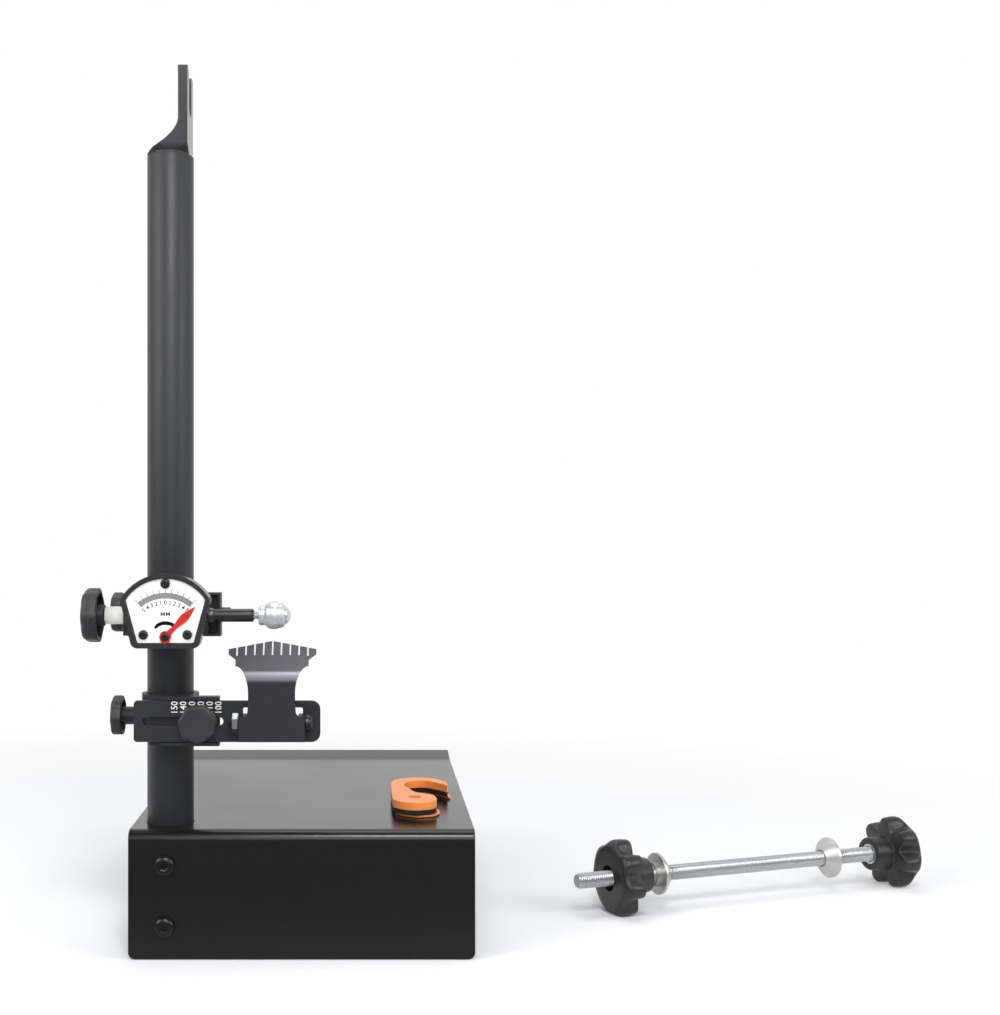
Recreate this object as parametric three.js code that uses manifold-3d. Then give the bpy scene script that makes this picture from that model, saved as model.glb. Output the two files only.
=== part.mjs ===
// Bicycle wheel truing stand with a dial gauge, a dish gauge, a loose thru axle adapter
// and a loose hook spacer. Millimetres, Z up. X = 0 is the column axis, Y = 0 is the middle
// of the front flange and Z = 0 is the floor. The wheel turns in the plane X = dish_x.

import * as THREE from 'three';
import Module from 'manifold-3d';

const kernel = await Module();
kernel.setup();
const { Manifold, CrossSection } = kernel;

// Clearances
const gap = 0.3;              // between parts that touch in the real object
const running_gap = 0.35;     // between parts that move past each other
const overshoot = 1;          // how far a cutting shape runs past a face

// Curve steps
const round_steps = 28;
const small_steps = 16;
const arc_steps = 5;

// Base: one folded sheet, open at both sides
const base_width = 197;
const base_depth = 282;
const base_height = 73;
const base_sheet = 3;
const base_bend_inner = 3;
const base_corner = 4;
const crease_run = 30;
const crease_rise = 4;

// Column and its fixing inside the base
const column_diameter = 27;
const column_wall = 2.5;
const column_top = 461.5;
const column_foot = 6;
const column_inset = 20.7;
const column_setback = 26.5;
const column_screw_low = 18.5;
const column_screw_drop = 19.7;     // from the base top down to the upper screw
const column_screw_shank = 6;
const column_screw_head = 11.8;
const column_screw_head_height = 3.4;
const column_socket_flats = 4;
const column_socket_depth = 2.1;
const saddle_width = 24;
const saddle_reach = 16;
const nut_bar_margin = 9;

// Slotted head on top of the column
const head_height = 50.6;
const head_curve_height = 19.4;
const head_neck_height = 0.6;
const head_neck_inset = 0.7;
const head_plug_depth = 20;
const head_blend_height = 5;         // from the tube's round to the blade's full width
const head_curve_power = 0.8;
const blade_thickness = 5.5;
const blade_face = 11.5;
const blade_corner = 2;
const axle_slot_width = 10.5;
const axle_slot_depth = 27;
const axle_slot_mouth = 4;           // lead-in at the top of the slot

// Gauge clamp on the column
const gauge_above_dish = 60.3;
const gauge_clamp_height = 24.8;
const gauge_clamp_wall = 3.15;
const gauge_pad_left = 22;
const gauge_pad_right = 32.1;
const gauge_pad_back = 14;
const gauge_ear_length = 5.9;
const gauge_ear_diameter = 9.2;
const gauge_ear_depth = 5;
const gauge_screw_x = 22.5;
const gauge_screw_rise = 7.6;
const gauge_screw_shank = 3;
const gauge_screw_head = 5.5;
const gauge_screw_head_height = 2.6;
const gauge_screw_grip = 6;

// Dial gauge body and case
const dial_x = 3;
const plunger_y = -3;
const body_thickness = 14;
const body_left = 22;
const body_right = 25;
const body_height = 22;
const case_depth = 11;
const case_width = 50;
const case_floor_width = 37;
const case_above_pivot = 35.1;
const case_below_pivot = 6.4;
const case_widest_above = 20.5;
const case_corner = 4;
const case_rim = 2.6;
const case_ledge = 1.2;
const case_back_wall = 2;
const face_recess = 1.7;
const face_thickness = 1.2;
const dial_screw_high = 29.4;
const dial_screw_low = 1.1;
const dial_screw_spread = 12.2;
const dial_screw_shank = 2.5;
const dial_screw_head = 5.4;
const dial_screw_head_height = 1.6;
const dial_boss = 6.4;
const boss_hole_depth = 4.5;

// Pointer and its drive
const pivot_drop = 10.9;
const pivot_boss = 6;
const pivot_shank = 2.2;
const pivot_head = 4.7;
const pivot_head_height = 1.4;
const pointer_length = 23.4;
const pointer_width = 4.5;
const pointer_thickness = 1;
const pointer_hub = 6;
const pointer_tail = 3.3;
const pointer_neck = 1.6;
const pointer_rest_degrees = 45;
const pointer_wide_share = 0.6;
const drive_radius = 7.5;
const drive_pin = 1.4;
const drive_pin_length = 6;
const drive_window_degrees = 52;
const drive_play = 0.75;
const fork_plate = 1.5;
const fork_width = 7.4;
const fork_drop = 7.3;
const fork_throat_drop = 2.3;
const fork_arm_height = 4;
const fork_clear = 0.6;
const fork_collar = 9.8;
const fork_collar_length = 5;

// Plunger
const plunger_travel = 11.4;
const plunger_thin = 6;
const plunger_thick = 7.4;
const plunger_tip_x = 51;
const plunger_stud_hole = 7;
const bush_outer = 10;
const bush_length = 19;
const bush_showing = 11;
const spring_wire = 0.9;
const spring_outer = 9.2;
const spring_turns = 6;
const spring_wire_steps = 5;
const spring_turn_steps = 10;
const chamber_end_margin = 3;
const gauge_knob_diameter = 32;
const gauge_knob_thickness = 9;
const gauge_knob_hub = 12.2;
const gauge_knob_hub_length = 2.8;
const gauge_knob_bore_depth = 9;

// Steel tip of the plunger
const tip_stud = 4.4;
const tip_stud_length = 7;
const tip_stud_showing = 2.7;
const tip_collar = 11.9;
const tip_collar_length = 4.3;
const tip_body = 15.7;
const tip_body_length = 7.6;
const tip_nose = 12.6;
const tip_nose_length = 2.9;
const tip_ball = 11.4;
const tip_ball_showing = 3.3;

// Dish gauge clamp on the column
const dish_height = 135;
const dish_clamp_height = 27;
const dish_clamp_wall = 2.75;
const channel_height = 28;
const channel_left = 9;
const channel_right = 31;
const channel_back = 14;
const channel_floor_y = 1.9;
const channel_plate = 3.5;
const channel_block_right = 16;
const lock_boss = 9;
const lock_boss_wall = 1.5;
const lip_left = 2;
const lip_reach = 3.4;

// Slide bar and its lock
const bar_thickness = 3;
const bar_height = 23.4;
const bar_left = 17.5;
const bar_right = 88.4;
const bar_corner_small = 2;
const bar_corner_large = 5;
const bar_slot_left = 12.5;
const bar_slot_right = 33.4;
const bar_slot_height = 4.8;
const lock_x = 19.7;
const lock_stud = 4;
const lock_stud_depth = 6;
const lock_knob_diameter = 22.6;
const lock_knob_thickness = 7;
const lock_hub = 9;
const lock_hub_length = 5;
const lock_washer = 9.6;
const lock_washer_thickness = 1;

// Dish gauge plate
const dish_offset = 50;
const plate_sheet = 1.2;
const plate_width = 37.2;
const plate_front_reach = 6;      // from the hinge axis forward to the plate's front skin
const plate_foot_drop = 10;       // every level of the plate is measured from the hinge axis
const plate_ear_rise = 4.2;
const plate_ear_back = 4.4;
const plate_ear_cut = 3.2;
const plate_neck_width = 29.6;
const plate_neck_rise = 8;
const plate_waist_width = 26.3;
const plate_waist_rise = 17;
const plate_notch_inset = 4.15;   // in from each end of the span
const plate_notch_low = 32.1;
const plate_notch_high = 35.4;
const plate_end_low = 38.4;
const plate_end_high = 41.2;
const plate_peak_rise = 45.6;
const plate_bend_rise = 26.4;
const plate_bend_inner = 12;
const plate_lean_degrees = 33;
const plate_slit_pitch = 5;
const plate_slit_margin = 4.75;   // from the last slit to the end of the span
const plate_slit_width = 1.1;
const plate_slit_floor = 38;
const plate_slit_pairs = 4;
const window_rise = 7.9;
const window_half_width = 17;
const lug_play = 0.4;
const lug_thickness = 2.4;
const lug_height = 8.6;
const hinge_reach = 5.9;          // from the bar's front face forward to the hinge axis
const plate_bolt = 5;
const plate_bolt_head = 9.8;
const plate_bolt_head_height = 3.8;
const plate_nut_flats = 8.2;
const plate_nut_height = 3.9;
const plate_bolt_end = 1.8;

// Clamp screws on the left of both column clamps
const side_knob_diameter = 24;
const side_knob_thickness = 6.4;
const side_knob_hub = 10.4;
const side_knob_hub_length = 7.1;
const side_stud = 6;
const side_boss = 13;
const side_boss_end = 20;
const side_stud_in_knob = 7;

// Loose hook spacer on the base
const hook_width = 36.1;
const hook_length = 86.2;
const hook_right_margin = 10.2;
const hook_y = 33;
const hook_top_thickness = 4.8;
const hook_pad_thickness = 2.5;
const hook_foot_thickness = 1.2;
const hook_foot_shift = 1.8;
const hook_foot_back = 1.2;
const hook_hole = 7.7;
const hook_hole_x_share = 0.382;
const hook_hole_y_share = 0.225;
const hook_outline_share = [
  [0.02, 0.14], [0.0, 0.3], [0.0, 0.53], [0.0, 0.74], [0.03, 0.84], [0.09, 0.905], [0.18, 0.955],
  [0.27, 0.978], [0.38, 0.993], [0.5, 1.0], [0.62, 0.993], [0.735, 0.965], [0.84, 0.93],
  [0.93, 0.87], [0.985, 0.8], [1.0, 0.74], [0.985, 0.678], [0.93, 0.71], [0.85, 0.76],
  [0.74, 0.822], [0.63, 0.866], [0.5, 0.873], [0.355, 0.845], [0.27, 0.79], [0.235, 0.72],
  [0.245, 0.64], [0.3, 0.572], [0.345, 0.48], [0.41, 0.41], [0.54, 0.352], [0.665, 0.312],
  [0.715, 0.26], [0.742, 0.158], [0.71, 0.084], [0.63, 0.04], [0.54, 0.02], [0.375, 0.0],
  [0.2, 0.03], [0.09, 0.075],
];

// Loose thru axle adapter on the floor
const adapter_x = 366.1;
const adapter_y = 131.8;
const adapter_plan_degrees = 20;
const adapter_rod = 10;
const adapter_rod_end = 22;
const adapter_knob_diameter = 50;
const adapter_knob_thickness = 15;
const adapter_knob_dome = 3;
const adapter_hub = 22;
const adapter_hub_length = 13;
const adapter_insert = 14;
const adapter_recess = 16;
const adapter_recess_depth = 5;
const adapter_bore_depth = 20;
const adapter_length = 254;
const cone_flange = 26.6;
const cone_flange_thickness = 1.8;
const cone_boss = 16;
const cone_boss_small = 12.6;
const cone_boss_length = 5;
const cone_nose = 13;
const cone_nose_length = 6;
const near_cone_start = 52;
const far_cone_setback = 70.5;     // from the rod's far end to the cone's near end
const far_cone_start = adapter_length - far_cone_setback;

// Lobed knobs
const lobe_count = 7;
const lobe_steps = 5;
const small_lobe_share = 0.06;
const large_lobe_share = 0.2;
const knob_chamfer = 1.6;

// Shapes of turned ends: [share of the length, share of the diameter]
const dome_share = [[0, 0.5], [0.45, 0.5], [0.85, 0.38], [1, 0.26]];
const pan_share = [[0, 0.5], [0.6, 0.5], [1, 0.32]];
const knob_dome_share = [[0, 0.5], [0.5, 0.44], [0.85, 0.3], [1, 0.14]];
const tip_shoulder_share = 0.2;
const tip_round_share = 0.08;
const full_round_share = 0.98;        // how far a corner radius may fill a narrow end
const end_chamfer_share = 0.1;        // of the diameter, at the ends of rods
const ear_nose_share = 0.33;
const case_corner_least_share = 0.25;
const cone_step_share = 0.33;
const bolt_socket_share = 0.33;

// Metalness and roughness of the plain model
const metal_look = [0.85, 0.35];
const matte_look = [0, 0.6];

// Colours for the plain model
const colour = {
  black: 0x1c1d20, steel: 0xb9bcc0, dark_steel: 0x5b5d62, white: 0xe9e9e6,
  red: 0xc3282c, orange: 0xf08a3c, plastic: 0x2a2b2e, nylon: 0xe4e2dc, rubber: 0x17171a,
};

// Derived places
const front_face = -base_sheet / 2;
const column_y = front_face + column_setback;
const base_right = base_width - column_inset;
const gauge_height = dish_height + gauge_above_dish;
const hook_x = base_right - hook_right_margin - hook_width;
const column_radius = column_diameter / 2;
const bore_radius = column_radius - column_wall;
const dish_x = blade_face + dish_offset;
const plate_span = 2 * (plate_slit_pairs * plate_slit_pitch + plate_slit_margin);
const body_front = plunger_y - body_thickness / 2;
const body_back = plunger_y + body_thickness / 2;
const case_front = body_front - case_depth;
const face_front = case_front + face_recess;
const face_back = face_front + face_thickness;
const pivot_z = gauge_height - pivot_drop;
const bar_back = channel_floor_y - gap;
const bar_front = bar_back - bar_thickness;
const hinge_y = bar_front - hinge_reach;

const group = new THREE.Group();
group.name = 'truing_stand';

const degrees = (angle) => angle * Math.PI / 180;

// Puts a closed shape into the group as a named mesh with its own material.
function add(name, shape, tone, metalness, roughness) {
  const data = shape.getMesh();
  const geometry = new THREE.BufferGeometry();
  geometry.setAttribute('position', new THREE.BufferAttribute(data.vertProperties, data.numProp));
  geometry.setIndex(new THREE.BufferAttribute(data.triVerts, 1));
  const material = new THREE.MeshStandardMaterial({ color: tone, metalness, roughness });
  const flat = geometry.toNonIndexed();
  flat.computeVertexNormals();
  const mesh = new THREE.Mesh(flat, material);
  mesh.name = name;
  group.add(mesh);
}

const metal = (name, shape, tone) => add(name, shape, tone, ...metal_look);
const matte = (name, shape, tone) => add(name, shape, tone, ...matte_look);

// Extrusions of a flat outline along each axis, starting at the given place.
function along_x(section, length, start) {
  return section.extrude(length).transform([0, 1, 0, 0, 0, 0, 1, 0, 1, 0, 0, 0, start, 0, 0, 1]);
}

function along_y(section, length, start) {
  const place = [1, 0, 0, 0, 0, 0, 1, 0, 0, -1, 0, 0, 0, start + length, 0, 1];
  return section.extrude(length).transform(place);
}

function along_z(section, length, start) {
  return section.extrude(length).translate([0, 0, start]);
}

const disc = (diameter, steps = small_steps) => CrossSection.circle(diameter / 2, steps);
const outline = (points) => new CrossSection([points], 'Positive');

// A round bar along an axis through the given cross point.
const bar_x = (diameter, x0, x1, y, z, steps = small_steps) =>
  along_x(disc(diameter, steps).translate([y, z]), x1 - x0, x0);
const bar_y = (diameter, y0, y1, x, z, steps = small_steps) =>
  along_y(disc(diameter, steps).translate([x, z]), y1 - y0, y0);
const bar_z = (diameter, z0, z1, x, y, steps = small_steps) =>
  along_z(disc(diameter, steps).translate([x, y]), z1 - z0, z0);

function box(x0, x1, y0, y1, z0, z1) {
  return Manifold.cube([x1 - x0, y1 - y0, z1 - z0]).translate([x0, y0, z0]);
}

const join = (...parts) => Manifold.union(parts);

// A rectangle with its own radius at each corner, from lower left anticlockwise.
function rounded(x0, x1, y0, y1, radii) {
  const corners = [[x0, y0, 180], [x1, y0, 270], [x1, y1, 0], [x0, y1, 90]];
  const points = [];
  corners.forEach(([x, y, start], index) => {
    const radius = radii[index];
    if (radius === 0) {
      points.push([x, y]);
      return;
    }
    const centre_x = x + (x === x0 ? radius : -radius);
    const centre_y = y + (y === y0 ? radius : -radius);
    for (let step = 0; step <= arc_steps; step += 1) {
      const angle = degrees(start + 90 * step / arc_steps);
      points.push([centre_x + radius * Math.cos(angle), centre_y + radius * Math.sin(angle)]);
    }
  });
  return outline(points);
}

// A bent strip of sheet: the middle line is given, both skins follow it around each bend.
function bent_strip(path, thickness, inner_radius) {
  const half = thickness / 2;
  const mid_radius = inner_radius + half;
  const left = [];
  const right = [];
  const put = (x, y, heading) => {
    const nx = -Math.sin(heading);
    const ny = Math.cos(heading);
    left.push([x + nx * half, y + ny * half]);
    right.push([x - nx * half, y - ny * half]);
  };
  const heading_of = (a, b) => Math.atan2(b[1] - a[1], b[0] - a[0]);
  put(path[0][0], path[0][1], heading_of(path[0], path[1]));
  for (let index = 1; index < path.length - 1; index += 1) {
    const before = heading_of(path[index - 1], path[index]);
    const after = heading_of(path[index], path[index + 1]);
    let turn = after - before;
    while (turn > Math.PI) turn -= 2 * Math.PI;
    while (turn < -Math.PI) turn += 2 * Math.PI;
    const side = Math.sign(turn);
    const setback = mid_radius * Math.tan(Math.abs(turn) / 2);
    const start_x = path[index][0] - setback * Math.cos(before);
    const start_y = path[index][1] - setback * Math.sin(before);
    const centre_x = start_x - side * mid_radius * Math.sin(before);
    const centre_y = start_y + side * mid_radius * Math.cos(before);
    for (let step = 0; step <= arc_steps; step += 1) {
      const heading = before + turn * step / arc_steps;
      const x = centre_x + side * mid_radius * Math.sin(heading);
      const y = centre_y - side * mid_radius * Math.cos(heading);
      put(x, y, heading);
    }
  }
  const last = path.length - 1;
  put(path[last][0], path[last][1], heading_of(path[last - 1], path[last]));
  return outline(left.reverse().concat(right));
}

// A turned shape: profile points are [distance along the axis, radius].
function turned_z(profile, steps = round_steps) {
  const points = profile.map(([along, radius]) => [radius, along]);
  const closed = [[0, profile[0][0]], ...points, [0, profile[profile.length - 1][0]]];
  return new CrossSection([closed], 'EvenOdd').revolve(steps);
}

const turned_x = (profile, y, z, steps) => turned_z(profile, steps).rotate([0, 90, 0])
  .translate([0, y, z]);

// The outline of a lobed hand knob.
function lobed(diameter, depth_share) {
  const points = [];
  const count = lobe_count * lobe_steps;
  for (let step = 0; step < count; step += 1) {
    const angle = 2 * Math.PI * step / count;
    const dip = (1 - Math.cos(lobe_count * angle)) / 2;
    const radius = diameter / 2 * (1 - depth_share * dip);
    points.push([radius * Math.cos(angle), radius * Math.sin(angle)]);
  }
  return outline(points);
}

// A lobed knob standing on Z = 0 with chamfered edges.
function knob_head(diameter, thickness, depth_share) {
  const section = lobed(diameter, depth_share);
  const slim_share = 1 - 2 * knob_chamfer / diameter;
  const slim = section.scale([slim_share, slim_share]);
  const back_scale = [1 / slim_share, 1 / slim_share];
  const front_scale = [slim_share, slim_share];
  const back = slim.extrude(knob_chamfer, 0, 0, back_scale);
  const middle = section.extrude(thickness - 2 * knob_chamfer).translate([0, 0, knob_chamfer]);
  const front = section.extrude(knob_chamfer, 0, 0, front_scale)
    .translate([0, 0, thickness - knob_chamfer]);
  return join(back, middle, front);
}

function base_sheet_shape() {
  const top_line = base_height - base_sheet / 2;
  const rear = base_depth - base_sheet;
  const path = [[0, 0], [0, top_line], [rear - crease_run, top_line],
    [rear, top_line + crease_rise], [rear, 0]];
  const width_start = -column_inset;
  const section = bent_strip(path, base_sheet, base_bend_inner);
  let shape = along_x(section, base_width, width_start);
  const keep = rounded(width_start, width_start + base_width, 0,
    base_height + crease_rise + overshoot, [base_corner, base_corner, 0, 0]);
  shape = shape.intersect(along_y(keep, base_depth + 2 * overshoot, front_face - overshoot));
  const hole = bar_z(column_diameter + 2 * gap, base_height - base_sheet - overshoot,
    base_height + overshoot, 0, column_y, round_steps);
  shape = shape.subtract(hole);
  return shape.subtract(column_screw_holes(front_face - overshoot, base_sheet));
}

const column_screw_high = base_height - column_screw_drop;
const column_screw_levels = [column_screw_low, column_screw_high];

// Clearance holes for the two column screws between two depths.
function column_screw_holes(start, end) {
  return join(...column_screw_levels.map((level) =>
    bar_y(column_screw_shank + 2 * gap, start, end, 0, level)));
}

function column_tube_shape() {
  const outer = bar_z(column_diameter, column_foot, column_top, 0, column_y, round_steps);
  const inner = bar_z(2 * bore_radius, column_foot - overshoot, column_top + overshoot, 0,
    column_y, round_steps);
  return outer.subtract(inner).subtract(column_screw_holes(front_face, column_y));
}

function saddle_shape() {
  const low = column_screw_low - nut_bar_margin;
  const high = column_screw_high + nut_bar_margin;
  const start = base_sheet / 2 + gap;
  const half = saddle_width / 2;
  const block = box(-half, half, start, start + saddle_reach, low, high);
  const tube = bar_z(column_diameter + 2 * gap, low - overshoot, high + overshoot, 0, column_y,
    round_steps);
  return block.subtract(tube).subtract(column_screw_holes(front_face, column_y));
}

function nut_bar_shape() {
  const low = column_screw_low - nut_bar_margin;
  const high = column_screw_high + nut_bar_margin;
  const core = bar_z(2 * bore_radius - 2 * gap, low, high, 0, column_y, round_steps);
  return core.subtract(column_screw_holes(front_face, column_y + column_screw_shank));
}

// A turned profile from shares of its length and diameter.
const profile_of = (shares, length, diameter) =>
  shares.map(([along, across]) => [along * length, across * diameter]);

// A domed socket screw pointing along +Y with its head seat at the given depth.
function screw_y(x, z, seat, size) {
  const dome = turned_z(profile_of(dome_share, size.head_height, size.head), small_steps)
    .rotate([90, 0, 0]).translate([x, seat, z]);
  const shank = bar_y(size.shank, seat - size.head_height + size.socket, seat + size.length,
    x, z);
  const socket = CrossSection.circle(size.flats / Math.sqrt(3), 6).translate([x, z]);
  const front = seat - size.head_height;
  return join(dome, shank).subtract(along_y(socket, size.socket + overshoot, front - overshoot));
}

function head_shape() {
  const low = column_top + gap + head_neck_height;
  const high = column_top + head_height;
  const blade_left = blade_face - blade_thickness;
  const sweep = [];
  for (let step = 0; step <= 2 * arc_steps; step += 1) {
    const share = step / (2 * arc_steps);
    const ease = Math.pow(Math.sin(degrees(90 * share)), head_curve_power);
    sweep.push([-column_radius + (blade_left + column_radius) * ease,
      low + head_curve_height * share]);
  }
  const side = outline([[blade_face, low], [blade_face, high], [blade_left, high],
    ...sweep.reverse()]);
  const slab = along_y(side, column_diameter, column_y - column_radius);
  const near = column_y - column_radius;
  const far = column_y + column_radius;
  const full = box(-column_radius, blade_face, near, far, low + head_blend_height, high);
  const round = bar_z(column_diameter, low, low + gap, 0, column_y, round_steps)
    .intersect(box(-column_radius, blade_face, near, far, low, high));
  const pillar = Manifold.hull([round, full]);
  const tip = along_x(rounded(near, far, column_top, high, [0, 0, blade_corner, blade_corner]),
    column_diameter, -column_radius);
  const neck = bar_z(column_diameter - 2 * head_neck_inset, column_top + gap, low + overshoot,
    0, column_y, round_steps).intersect(box(-column_radius, blade_face, near, far, 0, high));
  const plug = bar_z(2 * bore_radius - 2 * gap, column_top - head_plug_depth, low + overshoot,
    0, column_y, round_steps);
  const solid = join(slab.intersect(pillar).intersect(tip), neck, plug);
  return solid.subtract(axle_slot(high));
}

// The upward open slot that takes the wheel axle.
function axle_slot(high) {
  const radius = axle_slot_width / 2;
  const floor = high - axle_slot_depth;
  const round = radius * full_round_share;
  const slot = rounded(column_y - radius, column_y + radius, floor, high + 2 * overshoot,
    [round, round, 0, 0]);
  const mouth = outline([[column_y - radius, high - axle_slot_mouth],
    [column_y + radius, high - axle_slot_mouth],
    [column_y + radius + axle_slot_mouth + overshoot, high + overshoot],
    [column_y - radius - axle_slot_mouth - overshoot, high + overshoot]]);
  const cut = CrossSection.union([slot, mouth]);
  return along_x(cut, blade_thickness + 2 * overshoot, blade_face - blade_thickness - overshoot);
}

// A clamp ring around the column, with the boss for its side screw.
function clamp_ring(height, centre, wall) {
  const outer = column_diameter + 2 * running_gap + 2 * wall;
  const ring = bar_z(outer, centre - height / 2, centre + height / 2, 0, column_y, round_steps);
  const boss = bar_x(side_boss, -side_boss_end, -column_radius, column_y, centre);
  return join(ring, boss);
}

// What is taken out of a clamp: the column and the side screw's thread.
function clamp_bore(height, centre) {
  const column = bar_z(column_diameter + 2 * running_gap, centre - height, centre + height, 0,
    column_y, round_steps);
  const thread = bar_x(side_stud + 2 * gap, -side_boss_end - overshoot, 0, column_y, centre);
  return join(column, thread);
}

function gauge_clamp_shape() {
  const half = gauge_clamp_height / 2;
  const front = body_back + gap;
  const pad = box(-gauge_pad_left, gauge_pad_right, front, gauge_pad_back,
    gauge_height - half, gauge_height + half);
  const ear_y = front + gauge_ear_depth / 2;
  const ear_end = gauge_pad_right + gauge_ear_length - gauge_ear_depth / 2;
  const ear = join(
    bar_x(gauge_ear_diameter, gauge_pad_right - overshoot, ear_end, ear_y, gauge_height),
    turned_x([[ear_end - overshoot, gauge_ear_diameter / 2], [ear_end, gauge_ear_diameter / 2],
      [ear_end + gauge_ear_depth * ear_nose_share, gauge_ear_diameter * ear_nose_share]],
    ear_y, gauge_height, small_steps),
  ).intersect(box(0, gauge_pad_right + gauge_ear_length, front, front + gauge_ear_depth,
    gauge_height - gauge_ear_diameter, gauge_height + gauge_ear_diameter));
  const solid = join(clamp_ring(gauge_clamp_height, gauge_height, gauge_clamp_wall), pad, ear);
  const holes = gauge_screw_places().map((z) => bar_y(gauge_screw_shank + 2 * gap,
    front - overshoot, gauge_pad_back + overshoot, gauge_screw_x, z));
  return solid.subtract(clamp_bore(gauge_clamp_height, gauge_height)).subtract(join(...holes));
}

const gauge_screw_places = () => [gauge_height - gauge_screw_rise,
  gauge_height + gauge_screw_rise];

// A pan head screw that enters the gauge body from behind the clamp pad.
function gauge_screw_shape(z) {
  const seat = gauge_pad_back + gap;
  const shank = bar_y(gauge_screw_shank, body_back - gauge_screw_grip, seat + overshoot,
    gauge_screw_x, z);
  const head = turned_z(profile_of(pan_share, gauge_screw_head_height, gauge_screw_head),
    small_steps).rotate([-90, 0, 0]).translate([gauge_screw_x, seat, z]);
  const slot = box(gauge_screw_x - gauge_screw_head, gauge_screw_x + gauge_screw_head,
    seat + gauge_screw_head_height / 2, seat + gauge_screw_head_height + overshoot,
    z - gap, z + gap);
  return join(shank, head).subtract(slot);
}

// The arched outline of the dial case, shrunk by the given margin.
function case_outline(margin) {
  const low = pivot_z - case_below_pivot + margin;
  const half_floor = case_floor_width / 2 - margin;
  const half_wide = case_width / 2 - margin;
  const wide_z = pivot_z + case_widest_above;
  const top_z = pivot_z + case_above_pivot - margin;
  const rise = top_z - wide_z;
  const radius = (half_wide * half_wide + rise * rise) / (2 * rise);
  const sweep = Math.asin(Math.min(1, half_wide / radius));
  const points = [[-half_floor, low], [half_floor, low]];
  for (let step = 0; step <= 2 * arc_steps; step += 1) {
    const angle = sweep - sweep * step / arc_steps;
    points.push([radius * Math.sin(angle), top_z - radius + radius * Math.cos(angle)]);
  }
  const sharp = outline(points).translate([dial_x, 0]);
  const corner = Math.max(case_corner - margin, case_corner * case_corner_least_share);
  return sharp.offset(-corner, 'Miter').offset(corner, 'Round', 2, 4 * arc_steps);
}

const dial_screw_places = [
  [dial_x, pivot_z + dial_screw_high],
  [dial_x - dial_screw_spread, pivot_z + dial_screw_low],
  [dial_x + dial_screw_spread, pivot_z + dial_screw_low],
];
const fork_x = dial_x + plunger_travel / 2;
const fork_left = fork_x - fork_collar_length / 2;
const fork_right = fork_x + fork_collar_length / 2;
const chamber_end = fork_right + chamber_end_margin;
const case_floor = body_front - case_back_wall;
const fork_back = (case_floor + face_back) / 2 + fork_plate / 2;

function gauge_body_shape() {
  const half = body_height / 2;
  const block = box(-body_left, body_right, body_front, body_back,
    gauge_height - half, gauge_height + half);
  const shell = along_y(case_outline(0), case_depth + overshoot, case_front);
  const seat = along_y(case_outline(case_rim), face_recess + face_thickness + gap + overshoot,
    case_front - overshoot);
  const hollow = along_y(case_outline(case_rim + case_ledge), case_floor - case_front,
    case_front);
  const boss_start = face_back + gap;
  const boss = ([x, z], diameter) => bar_y(diameter, boss_start, body_front, x, z);
  const bosses = join(...dial_screw_places.map((place) => boss(place, dial_boss)),
    boss([dial_x, pivot_z], pivot_boss));
  const inside = along_y(case_outline(case_rim / 2), case_depth, case_front);
  const hole = ([x, z], diameter) => bar_y(diameter + 2 * gap, boss_start - overshoot,
    boss_start + boss_hole_depth, x, z);
  const holes = join(...dial_screw_places.map((place) => hole(place, dial_screw_shank)),
    hole([dial_x, pivot_z], pivot_shank));
  const chamber = bar_x(bush_outer + 2 * gap, -body_left - overshoot, chamber_end, plunger_y,
    gauge_height);
  const guide = bar_x(plunger_thick + 2 * running_gap, 0, body_right + 2 * overshoot + case_rim,
    plunger_y, gauge_height);
  const arm = fork_arm_height / 2 + fork_clear;
  const window = box(fork_left - plunger_travel - fork_clear, fork_right + fork_clear,
    case_floor - overshoot, plunger_y, gauge_height - arm, gauge_height + arm);
  const tapped = gauge_screw_places().map((z) => bar_y(gauge_screw_shank + 2 * gap,
    body_back - gauge_screw_grip - gap, body_back + overshoot, gauge_screw_x, z));
  const outer = join(block, shell).subtract(seat).subtract(hollow);
  return join(outer, bosses.intersect(inside)).subtract(holes).subtract(chamber)
    .subtract(guide).subtract(window).subtract(join(...tapped));
}

// The curved slot through the dial that the drive pin moves in.
function drive_window() {
  const outer = drive_radius + drive_pin / 2 + gap + gap;
  const inner = drive_radius - drive_pin / 2 - gap - gap;
  const points = [];
  for (let step = 0; step <= 2 * arc_steps; step += 1) {
    const angle = degrees(drive_window_degrees * (step / arc_steps - 1));
    points.push([dial_x + outer * Math.sin(angle), pivot_z + outer * Math.cos(angle)]);
  }
  for (let step = 2 * arc_steps; step >= 0; step -= 1) {
    const angle = degrees(drive_window_degrees * (step / arc_steps - 1));
    points.push([dial_x + inner * Math.sin(angle), pivot_z + inner * Math.cos(angle)]);
  }
  return outline(points.reverse());
}

function dial_face_shape() {
  const plate = case_outline(case_rim + gap);
  const holes = dial_screw_places.map(([x, z]) =>
    disc(dial_screw_shank + 2 * gap).translate([x, z]));
  const pivot = disc(pivot_shank + 2 * gap).translate([dial_x, pivot_z]);
  const cut = CrossSection.union([...holes, pivot, drive_window()]);
  return along_y(plate.subtract(cut), face_thickness, face_front);
}

// A small domed screw that holds the dial or the pointer, head seat at the given depth.
function dial_screw_shape([x, z], seat, shank, head, head_height) {
  const cap = turned_z(profile_of(dome_share, head_height, head), small_steps)
    .rotate([90, 0, 0]).translate([x, seat, z]);
  const end = face_back + boss_hole_depth;
  const slot = box(x - head, x + head, seat - head_height - overshoot, seat - head_height / 2,
    z - gap, z + gap);
  return join(cap, bar_y(shank, seat - head_height / 2, end, x, z)).subtract(slot);
}

const pointer_back = face_front - gap;
const pointer_front = pointer_back - pointer_thickness;

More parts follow.
